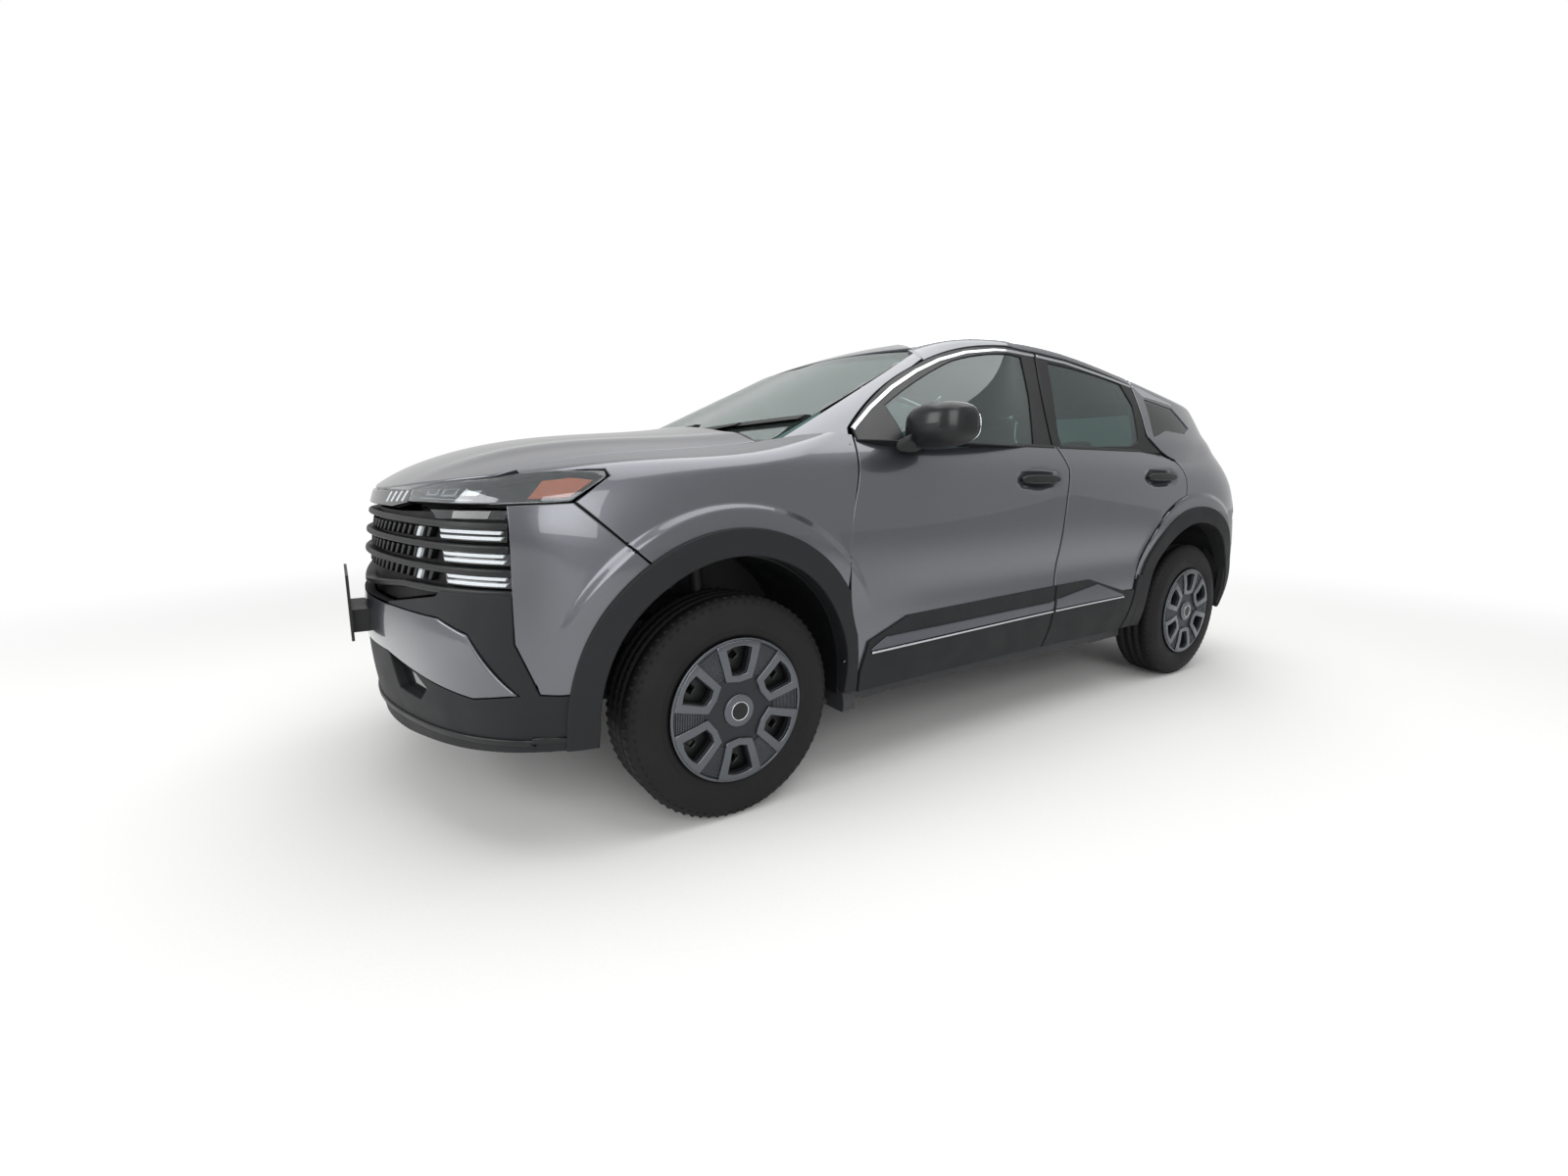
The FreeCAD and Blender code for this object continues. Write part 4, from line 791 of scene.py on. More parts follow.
@dataclass(frozen=True)
class Finish:
    """A procedural finish: base colour broken up by fine noise, with bump from the same noise and roughness from a
    broader one.
    """

    name: str
    colour: str
    second: str
    roughness: float
    metallic: float = 0.0
    grain_mm: float = 1.5
    bump: float = 0.0
    mottle: float = 0.5
    rough_spread: float = 0.05
    coat: float = 0.0
    coat_roughness: float = 0.03
    ior: float = 1.5
    transmission: float = 0.0
    flakes: bool = False
    emission: float = 0.0
    specular: float = 0.5

    def build(self) -> bpy.types.Material:
        """Make the material.

        Returns:
            The node material.
        """
        found = bpy.data.materials.get(self.name)
        if found:
            return found
        mat = bpy.data.materials.new(self.name)
        mat.use_nodes = True
        tree = mat.node_tree
        tree.nodes.clear()
        place = add_node(tree, "ShaderNodeTexCoord").outputs["Object"]
        noise = add_node(tree, "ShaderNodeTexNoise", Vector=place, Scale=1000 / self.grain_mm, Detail=3.0)
        broad = add_node(tree, "ShaderNodeTexNoise", Vector=place, Scale=9.0, Detail=2.0)
        blend = add_node(tree, "ShaderNodeMapRange", Value=noise.outputs["Fac"], From_Min=0.35, From_Max=0.65,
                         To_Min=0.0, To_Max=self.mottle)
        colour = add_node(tree, "ShaderNodeMix", data_type="RGBA")
        tree.links.new(blend.outputs["Result"], colour.inputs[0])
        colour.inputs[6].default_value = linear(self.colour)
        colour.inputs[7].default_value = linear(self.second)
        rough = add_node(tree, "ShaderNodeMapRange", Value=broad.outputs["Fac"], From_Min=0.3, From_Max=0.7,
                         To_Min=max(self.roughness - self.rough_spread, 0.0),
                         To_Max=self.roughness + self.rough_spread)
        shader = add_node(tree, "ShaderNodeBsdfPrincipled", Metallic=self.metallic, IOR=self.ior,
                          Base_Color=colour.outputs[2], Roughness=rough.outputs["Result"],
                          Coat_Weight=self.coat, Coat_Roughness=self.coat_roughness,
                          Transmission_Weight=self.transmission, Specular_IOR_Level=self.specular)
        if self.bump:
            lift = add_node(tree, "ShaderNodeBump", Strength=self.bump, Distance=BUMP_DEPTH,
                            Height=noise.outputs["Fac"])
            tree.links.new(lift.outputs["Normal"], shader.inputs["Normal"])
        if self.flakes:
            cells = add_node(tree, "ShaderNodeTexVoronoi", Vector=place, Scale=FLAKES_PER_METRE)
            tilt = add_node(tree, "ShaderNodeBump", Strength=0.10, Distance=FLAKE_DEPTH,
                            Height=cells.outputs["Color"])
            tree.links.new(tilt.outputs["Normal"], shader.inputs["Normal"])
        if self.emission:
            shader.inputs["Emission Color"].default_value = linear(self.colour)
            shader.inputs["Emission Strength"].default_value = self.emission
        add_node(tree, "ShaderNodeOutputMaterial", Surface=shader.outputs["BSDF"])
        return mat


PAINT = Finish("painted_metal_gun_grey", "#63656b", "#56585e", 0.30, metallic=0.75, grain_mm=0.9, mottle=0.8,
               rough_spread=0.02, coat=1.0, coat_roughness=0.02, flakes=True)
BLADE = Finish("satin_paint_dark_grey", "#4b4c55", "#43444c", 0.34, metallic=0.7, grain_mm=0.9, coat=0.6,
               coat_roughness=0.12)
CLADDING = Finish("grained_black_polypropylene", "#18191b", "#202124", 0.62, grain_mm=1.1, bump=0.5,
                  specular=0.28)
GLOSS = Finish("gloss_black_plastic", "#08090a", "#0c0d0f", 0.10, grain_mm=4, coat=0.8)
SATIN = Finish("satin_black_plastic", "#101113", "#161719", 0.42, grain_mm=1.5, bump=0.12, specular=0.35)
CHROME = Finish("satin_chrome_strip", "#c9ccd0", "#b6b9bd", 0.18, metallic=1.0, grain_mm=2)
TYRE = Finish("tyre_rubber", "#121213", "#1b1b1c", 0.68, grain_mm=1.6, bump=0.3, mottle=0.7, specular=0.25)
COVER = Finish("satin_grey_wheel_cover", "#5c5f64", "#505358", 0.27, metallic=0.8, grain_mm=1.0, coat=0.3,
               coat_roughness=0.2)
STEEL = Finish("black_enamelled_steel", "#0f1011", "#17181a", 0.42, metallic=0.2, grain_mm=2)
CAST = Finish("cast_iron_surface", "#3b3a3a", "#2c2b2b", 0.62, metallic=0.7, grain_mm=2.4, bump=0.5)
ALLOY = Finish("cast_aluminium_surface", "#8a8c8f", "#76787b", 0.46, metallic=0.9, grain_mm=2.0, bump=0.3)
CHASSIS = Finish("sealed_underbody_paint", "#2a2b2e", "#36373a", 0.6, grain_mm=3.0, bump=0.3)
TRIM = Finish("soft_touch_cabin_plastic", "#232427", "#2c2d31", 0.6, grain_mm=1.4, bump=0.4)
LINING = Finish("grey_headliner_felt", "#6b6c6e", "#77787a", 0.9, grain_mm=1.2, bump=0.5)
CLOTH = Finish("woven_seat_cloth", "#26272b", "#3a3b41", 0.85, grain_mm=1.3, bump=0.7, mottle=1.0)
GLASS = Finish("tinted_window_glass", "#6b8582", "#67817e", 0.02, grain_mm=30, transmission=0.94, ior=1.5,
               rough_spread=0.0)
SCREEN_GLASS = Finish("laminated_screen_glass", "#b9cbc7", "#b4c7c3", 0.02, grain_mm=30, transmission=0.96,
                      ior=1.5, rough_spread=0.0)
LENS = Finish("clear_polycarbonate_lens", "#dfe5e8", "#d8dfe2", 0.03, grain_mm=30, transmission=0.97, ior=1.58,
              rough_spread=0.0)
LIGHT_BAR = Finish("white_light_guide", "#cfd5d9", "#c3c9cd", 0.25, grain_mm=5, coat=0.8, emission=0.04)
AMBER = Finish("amber_reflector", "#d4621c", "#b9500f", 0.2, grain_mm=3, coat=1.0)
RED = Finish("red_tail_lens", "#8c0f18", "#6d0a12", 0.12, grain_mm=4, coat=1.0)
RED_DEEP = Finish("deep_red_tail_lens", "#4c0a10", "#3d080d", 0.1, grain_mm=4, coat=1.0)
CAP = Finish("smooth_black_cap", "#17181a", "#1b1c1e", 0.24, grain_mm=2, specular=0.45)
# Black of the grille's backing mesh and the lamp housings, also used as painted shade behind the bumper's corner
# seam.
SEAM_SHADE_AND_MESH_BLACK = Finish("moulded_black_mesh", "#050506", "#0a0a0b", 0.5, grain_mm=3, specular=0.2)
# Painted shade: a darker copy of the wheel cover's grey for the base face between the raised frames and ribs;
# COVER is the lit copy, lightened for the frames' edge highlights.
COVER_SHADE = Finish("ribbed_grey_wheel_cover", "#2b2d31", "#242629", 0.42, metallic=0.5, grain_mm=1.0)
MIRROR = Finish("mirror_glass", "#e8ebed", "#e2e6e8", 0.02, metallic=1.0, grain_mm=20, rough_spread=0.0)


def mesh_piece(name: str, sheet: Sheet, body: str, finishes: Sequence[Finish], slot: Slot,
               replaces: Sequence[str] = ()) -> bpy.types.Object:
    """Make a piece from mesh data, with its own normals, and let it ride.

    Args:
        name: Piece name.
        sheet: Mesh data in metres.
        body: Body that it rides on.
        finishes: Finishes in material order.
        slot: The record's slot; not used.
        replaces: CAD nodes that it stands for.

    Returns:
        The object.
    """
    mesh = bpy.data.meshes.new(name)
    mesh.from_pydata(sheet.verts, [], sheet.faces)
    mesh.polygons.foreach_set("use_smooth", [True] * len(mesh.polygons))
    mesh.polygons.foreach_set("material_index", sheet.finish)
    mesh.update()
    if sheet.normals:
        mesh.normals_split_custom_set_from_vertices(sheet.normals)
    for finish in finishes:
        mesh.materials.append(finish.build())
    obj = bpy.data.objects.new(name, mesh)
    bpy.context.scene.collection.objects.link(obj)
    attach(obj, body)
    if replaces:
        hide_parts(*replaces)
    LOG.info("%s: %d faces on %s", name, len(mesh.polygons), body)
    return obj


def both_sides(name: str, sheet: Sheet, finishes: Sequence[Finish], slot: Slot, nodes: Sequence[str] = (),
               bodies: tuple[str, str] = ("body", "body")) -> None:
    """A right-hand piece and its twin.

    Args:
        name: Name of the pair; the side follows it.
        sheet: Mesh data of the right-hand piece.
        finishes: Finishes in material order.
        slot: The record's slot.
        nodes: CAD nodes that it stands for. {side} in a name becomes left or right; a name without it goes
            to the right-hand piece alone.
        bodies: Bodies of the left-hand and the right-hand piece.
    """
    for side, data, body in (("right", sheet, bodies[1]), ("left", sheet.mirrored(), bodies[0])):
        mesh_piece(f"{name}_{side}", data, body, finishes, slot,
                   [n.replace("{side}", side) for n in nodes if side == "right" or "{side}" in n])


class Surfaces:
    """The car's smooth charts, shared by all panels."""

    def __init__(self) -> None:
        """Sample the charts."""
        self.lower = SkinChart(LOWER, lower_knots, 205, 1284, 3, 5, 10)
        self.green = SkinChart(GREEN, green_knots, 1040, 1640, 0, 2, 6)
        self.hood = TopChart(HOOD, HOOD_TOP, -900, 520)
        self.roof = TopChart(ROOF, ROOF_TOP, 800, 3150)
        self.fender = ShoulderChart(self.lower, HOOD, HOOD_TOP, -560, 530, 760, 160, 34)
        self.cant = ShoulderChart(self.green, ROOF, ROOF_TOP, 930, 2400, 130, 130, 26)
        self.tail = TailChart(self.lower, self.green)


FRONT_SEAM = ((446, 500), (406, 705, "via"), (439, 970), (487, 1172))
FRONT_DOOR = (
    (467, 300),) + FRONT_SEAM + (
    (680, 1306, "via"), (886, 1412), (1168, 1509, "via"), (1480, 1537), (1606, 1537), (1566, 1350, "via"),
    (1555, 1150), (1587, 1045), (1565, 800, "via"), (1502, 300))
REAR_TRAIL = ((2303, 1447), (2276, 1205), (2340, 1150, "via"), (2478, 1092), (2531, 1015, "via"), (2541, 927),
              (2291, 790, "via"), (2155, 540), (2095, 300))
REAR_DOOR = (
    (1506, 300), (1569, 800, "via"), (1591, 1045), (1563, 1150), (1574, 1350, "via"), (1614, 1537),
    (1820, 1527), (2080, 1491, "via")) + REAR_TRAIL
QUARTER_TRAIL = ((2309, 1447), (2284, 1205), (2344, 1156, "via"), (2482, 1098), (2535, 1015, "via"), (2545, 927),
                 (2295, 790, "via"), (2159, 540))
FRONT_WINDOW = (
    (668, 1134), (1418, 1135), (1474, 1342), (1498, 1503), (1280, 1494, "via"), (1069, 1447),
    (860, 1355.7, "via"), (668, 1254.7))
REAR_WINDOW = (
    (1685, 1499), (1623, 1187), (1632, 1139), (2143, 1155), (2208, 1182), (2247, 1347), (2214, 1447),
    (1967, 1481, "via"))
QUARTER_WINDOW = ((2375, 1388), (2335, 1200), (2470, 1238), (2670, 1229), (2745, 1259), (2632, 1356))
SCREEN = ((-712, 1098), (712, 1098), (570, 1487), (0, 1520, "via"), (-570, 1487))
STRIP_FRONT = ((490, 1169), (604, 1246), (737, 1325), (886, 1399), (1021, 1454), (1168, 1496), (1326, 1520),
               (1480, 1526), (1598, 1526))
STRIP_REAR = ((1618, 1526), (1820, 1516), (2020, 1490), (2160, 1470), (2296, 1446))
CORNER = ((-587, 941), (-590, 600), (-543, 469), (-497, 465), (-215, 465), (-215, 741), (-442, 948))
TRIM_TOP = ((430, 280), (490, 477), (673, 545), (1793, 572), (2061, 499), (2175, 499), (2175, 280))
BLADE_EDGE = ((497, 449), (564, 484), (1485, 500), (1836, 547), (2040, 484))
DOOR_BELT = 1141.0
FRAME_FOOT = 1126.0
HANDLE_SPOT = {"front": (1390.0, 1003.0), "rear": (2307.0, 1014.0)}


def circle(x: float, z: float, radius: float, foot: float | None = None) -> list[tuple]:
    """A wheel opening's outline with legs down to a foot, or a full circle without one."""
    if foot is None:
        return [(x - radius, z), (x, z + radius, "via"), (x + radius, z), (x, z - radius, "via")]
    return [(x - radius, foot), (x - radius, z), (x, z + radius, "via"), (x + radius, z), (x + radius, foot)]


def arch(x: float, by: float = ARCH_EDGE) -> Loop:
    """The side view of a wheel opening, grown by a distance."""
    return densify(circle(x, ARCH_Z, ARCH_RADIUS + by, ARCH_FOOT), 16)


def ribbon(line: Sequence[tuple], width: float, step: float = 14) -> Loop:
    """A closed band of a width along the right-hand side of an open line."""
    pts = np.array(open_line(line, step))
    run = np.gradient(pts, axis=0)
    run /= np.linalg.norm(run, axis=1)[:, None]
    inner = pts + np.stack([run[:, 1], -run[:, 0]], 1) * width
    return [tuple(p) for p in pts] + [tuple(p) for p in inner[::-1]]


def across(half: Loop) -> Loop:
    """A full-width loop from its right-hand half, on a chart whose middle is at zero."""
    half = [p for p in half if p[0] > 0.5]
    return half + [(-a, b) for a, b in reversed(half)]


def other_side(loop: Loop) -> Loop:
    """The left-hand twin of a loop on the tail's chart."""
    return [(2 * TAIL_MIDDLE - a, b) for a, b in reversed(loop)]


def rear_across(half: Loop) -> Loop:
    """A full-width loop of the tail's chart from its right-hand half, from the middle outwards and back."""
    half = [p for p in half if p[0] < TAIL_MIDDLE - 0.1]
    return half + other_side(half)


def flare(chart: Chart, x0: float, height: float = 12.0) -> Callable[[np.ndarray, np.ndarray], np.ndarray]:
    """The raised flange round a wheel opening, as a lift over a chart."""

    def lift(a: np.ndarray, b: np.ndarray) -> np.ndarray:
        """Lift in millimetres."""
        spot = chart.raw(a, b)
        far = np.hypot(spot[:, 0] - x0, spot[:, 2] - ARCH_Z) - ARCH_RADIUS
        ramp = np.clip((FLANGE[-1] - far) / (FLANGE[-1] - FLANGE[0]), 0, 1)
        fade = np.clip((spot[:, 2] - 560) / 220, 0, 1)
        return height * ramp * ramp * (3 - 2 * ramp) * fade * fade * (3 - 2 * fade)

    return lift


def flange_lines(place: Callable[[Loop], Loop], x: float) -> list[Loop]:
    """Chart loops along the flange's slope, so that the mesh follows it."""
    return [place([p for p in arch(x, by) if p[1] > 300]) for by in FLANGE]


@dataclass
class FrontBody:
    """Hood and fenders."""

    skins: Surfaces
    lid_depth: float = 26.0

    def hood(self) -> None:
        """The hood's smooth lid, from its leading edge to the cowl."""
        ys = np.linspace(-HOOD_HALF, HOOD_HALF, 90)
        seam = 966 + 70 * (ys / 900) ** 2
        xs = np.linspace(-900, -300, 400)
        lead = [(xs[int(np.argmax(crown(HOOD, HOOD_TOP, xs, np.full(400, y)) > z))], y) for y, z in zip(ys, seam)]
        side = [(x, HOOD_HALF) for x in np.arange(lead[-1][0], 160, 26)]
        other = [(x, -HOOD_HALF) for x in np.arange(lead[0][0], 160, 26)][::-1]
        rear = arc_through((165, HOOD_HALF), (185, 0), (165, -HOOD_HALF), np.linspace(0, 1, 50))

        def creases(a: np.ndarray, b: np.ndarray) -> np.ndarray:
            """Two soft raised ribs that run towards the screen."""
            line = 430 + (a + 800) * 0.16
            return 7.0 * np.exp(-((np.abs(b) - line) / 60) ** 2) * np.clip((a + 760) / 260, 0, 1)

        cut = Cut(depth=self.lid_depth, hem=5, spacing=30, back=True, back_finish=1)
        sheet = panel(self.skins.hood, [lead[:-1] + side + rear + other[:-1]], cut=cut, shape=creases)
        mesh_piece("hood_panel", sheet, "hood", (PAINT, CHASSIS), Slot.PAINT, ["hood"])

    def fenders(self) -> None:
        """The front fenders, which fold over the shoulder to the hood's edge."""
        chart = self.skins.fender
        low = open_line([(-215, 700), (-215, 741), (-442, 949), (-350, 1013), (-356, 1028), (-470, 1026),
                         (-545, 1016)])
        top = [(x, HOOD_HALF + 2) for x in np.arange(-545, 161, 24)]
        top += [(230, HOOD_HALF + 8), (300, HOOD_HALF + 18)]
        back = open_line([(480, 1148), (439, 970), (406, 705, "via"), (400, 500), (397, 400)])
        loop = chart.by_z(low) + chart.by_y(top) + chart.by_z(back)
        opening = chart.by_z([p for p in arch(0) if p[1] > 300])
        sheet = panel(chart, [loop, opening] + flange_lines(chart.by_z, 0), (0,), (1,), Cut(depth=18, spacing=20),
                      flare(chart, 0))
        both_sides("fender_panel", sheet, (PAINT,), Slot.PAINT, ["front_fenders"])


@dataclass
class Nose:
    """Bumper, lamps and grille."""

    skins: Surfaces
    rows: tuple = ((866, 0), (808, 6), (752, 12))

    def bumper(self) -> None:
        """Painted corners and insert, and the black lower bumper."""
        chart = self.skins.lower
        side, front = chart.side, chart.front
        sheet = panel(chart, [side(densify(CORNER, 12)), side(arch(0))] + flange_lines(side, 0), (0,), (1,),
                      Cut(depth=20, gap=4, spacing=18), flare(chart, 0))
        both_sides("bumper_corner", sheet, (PAINT,), Slot.PAINT)
        # Painted shade: a near-black strip behind the bumper-to-fender seam, so that the gap reads dark.
        seam_shade_strip = tile(chart, side(ribbon([(-205, 715), (-450, 940)], 34)), -16, 4, 1, 30)
        both_sides("corner_joint_backing", seam_shade_strip, (SEAM_SHADE_AND_MESH_BLACK,), Slot.GLOSS)
        half = densify([(0, 647), (600, 647), (700, 616), (802, 466), (700, 446), (300, 505), (0, 505)])
        insert = across(front([p for p in half if p[0] > 1]))

        def belly(a: np.ndarray, b: np.ndarray) -> np.ndarray:
            """The insert's soft outward roll."""
            return 6 * np.sin(np.clip((b - 446) / 200, 0, 1) * math.pi)

        sheet = panel(chart, [insert], cut=Cut(depth=22, gap=3, hem=5, spacing=22), shape=belly)
        mesh_piece("bumper_insert", sheet, "body", (PAINT,), Slot.PAINT, ["front_bumper"])
        top = [(0, 652), (300, 652), (590, 703), (612, 721), (780, 723)]
        flank = [(-587, 722), (-590, 600), (-543, 469), (-497, 465), (-430, 465), (-412, 400), (-405, 330)]
        foot = [(840, 306), (800, 304), (600, 282), (300, 256), (0, 246)]
        half = front(open_line(top)) + side(open_line(flank)) + front(open_line(foot))
        recess = front(densify([(300, 498), (470, 470), (520, 440), (470, 398), (340, 404)], 12))
        loops = [across(half), insert, recess, [(-a, b) for a, b in reversed(recess)]]
        sheet = panel(chart, loops, (0,), (1, 2, 3), Cut(depth=26, gap=3, hem=4, spacing=24))
        mesh_piece("bumper_lower", sheet, "body", (CLADDING,), Slot.CLADDING, ["bumper_mask"])
        lip = front(open_line([(0, 318), (500, 330), (800, 345)], 16)) + side([(-560, 352), (-480, 352)])
        low = side([(-480, 336), (-560, 334)]) + front(open_line([(800, 327), (500, 312), (0, 300)], 16))
        mesh_piece("bumper_lip", tile(chart, across(lip + low), 7, 9, 5, 30), "body", (SATIN,), Slot.CLADDING)
        both_sides("fog_recess", tile(chart, grow(recess, 6), -24, 3, 1, 30), (GLOSS,), Slot.GLOSS)

    def grille(self) -> None:
        """Backing, blades, light bars and slanted marks."""
        chart = self.skins.lower
        front = chart.front
        half = front(open_line([(0, 656), (300, 656), (588, 708), (610, 726), (796, 728), (798, 934), (300, 916),
                                (0, 916)]))
        mesh_piece("grille_back", tile(chart, across(half), -34, 3, 1, 40), "body", (SEAM_SHADE_AND_MESH_BLACK,), Slot.GLOSS,
                   ["grille"])
        blades, shards, bars, marks = [], [], [], []
        for z0, z1, z2 in ((889, 893, 898), (832, 834, 838), (774, 775, 778), (722, 718, 678)):
            upper = front(open_line([(0, z2 + 9), (420, z1 + 9), (798, z0 + 10)]))
            lower = front(open_line([(798, z0 - 10), (420, z1 - 9), (0, z2 - 9)]))
            blades.append(tile(chart, across(upper + lower), -3, 30, 6, 30))
        mesh_piece("grille_blades", Sheet().joined(*blades), "body", (SATIN,), Slot.GLOSS)
        for z, shrink in self.rows:
            for y in range(26, 560, 42):
                if not 455 < y < 525:
                    shard = densify([(y, z - 13), (y + 15, z - 15), (y + 30, z + 12), (y + 13, z + 15)], 12)
                    shards.append(tile(chart, front(shard), -19, 13, 3, 40))
            for step in (7.5, -7.5):
                low, high = z + step - 4.5, z + step + 4.5
                bar = densify([(622 + shrink, low), (784, low), (788, high), (616 + shrink, high)], 12)
                bars.append(tile(chart, front(bar), -9, 14, 2, 30))
            mark = densify([(474, z - 15), (494, z - 15), (510, z + 13), (490, z + 13)], 10)
            carrier = densify([(600 + shrink, z - 19), (792, z - 19), (794, z + 19), (594 + shrink, z + 19)], 12)
            marks += [tile(chart, front(mark), -16, 8, 2, 30), tile(chart, front(carrier), -20, 8, 3, 30, 1)]
        both_sides("grille_shards", Sheet().joined(*shards), (SATIN,), Slot.GLOSS)
        wide = densify([(600, 902), (790, 906), (792, 930), (560, 926), (590, 912)], 12)
        marks.append(tile(chart, front(wide), -8, 14, 3, 30, 2))
        both_sides("light_bars", Sheet().joined(*bars), (LIGHT_BAR,), Slot.LAMP)
        both_sides("light_carriers", Sheet().joined(*marks), (LIGHT_BAR, GLOSS, LENS), Slot.LAMP)

    def headlamps(self) -> None:
        """Clear covers over dark housings with an amber wedge, and the striped inner ends."""
        chart = self.skins.lower
        side, front = chart.side, chart.front
        corner = side(open_line([(-600, 942), (-587, 943), (-450, 949), (-352, 1012), (-357, 1027), (-470, 1026),
                                 (-548, 1018)]))
        loop = front(open_line([(430, 938), (560, 940), (690, 940)])) + corner + front(
            open_line([(728, 1008), (640, 1000), (560, 992), (430, 980)]))
        lens = panel(chart, [loop], cut=Cut(gap=4, depth=6, hem=3, spacing=26, back=True))
        both_sides("lamp_cover", lens, (LENS,), Slot.LAMP)
        housing = tile(chart, grow(loop, -4), -34, 4, 1, 26)
        rim = tile(chart, grow(loop, -2), -7, 30, 1, 60, holes=[grow(loop, -11)])
        amber = side(densify([(-545, 958), (-452, 962), (-386, 1006), (-440, 1012), (-505, 1004)], 10))
        guide = front(densify([(470, 948), (690, 950), (700, 958), (470, 956)], 12))
        inside = [rim, tile(chart, amber, -12, 18, 3, 20, 1), tile(chart, guide, -18, 12, 2, 40, 2)]
        for y0 in (500, 580, 655):
            box = front(densify([(y0, 962), (y0 + 58, 964), (y0 + 64, 988), (y0 + 4, 984)], 8))
            inner = grow(box, -5)
            inside += [tile(chart, box, -18, 14, 1, 60, 3, [inner]), tile(chart, inner, -24, 6, 4, 30, 4)]
        both_sides("lamp_inside", housing.joined(*inside), (SEAM_SHADE_AND_MESH_BLACK, AMBER, LIGHT_BAR, CHROME, LENS), Slot.LAMP,
                   ["headlamps"])
        strip = front(open_line([(0, 922), (300, 922), (424, 938), (424, 978), (300, 970), (0, 960)]))
        mesh_piece("nose_strip", tile(chart, across(strip), -2, 20, 4, 30), "body", (GLOSS,), Slot.GLOSS)
        stripes = []
        for y0, z in ((250, 932), (292, 934), (334, 936), (376, 938)):
            mark = densify([(y0, z), (y0 + 12, z), (y0 + 34, z + 30), (y0 + 24, z + 30)], 10)
            stripes.append(tile(chart, front(mark), 0, 4, 2, 30))
        both_sides("nose_stripes", Sheet().joined(*stripes), (LIGHT_BAR,), Slot.LAMP)


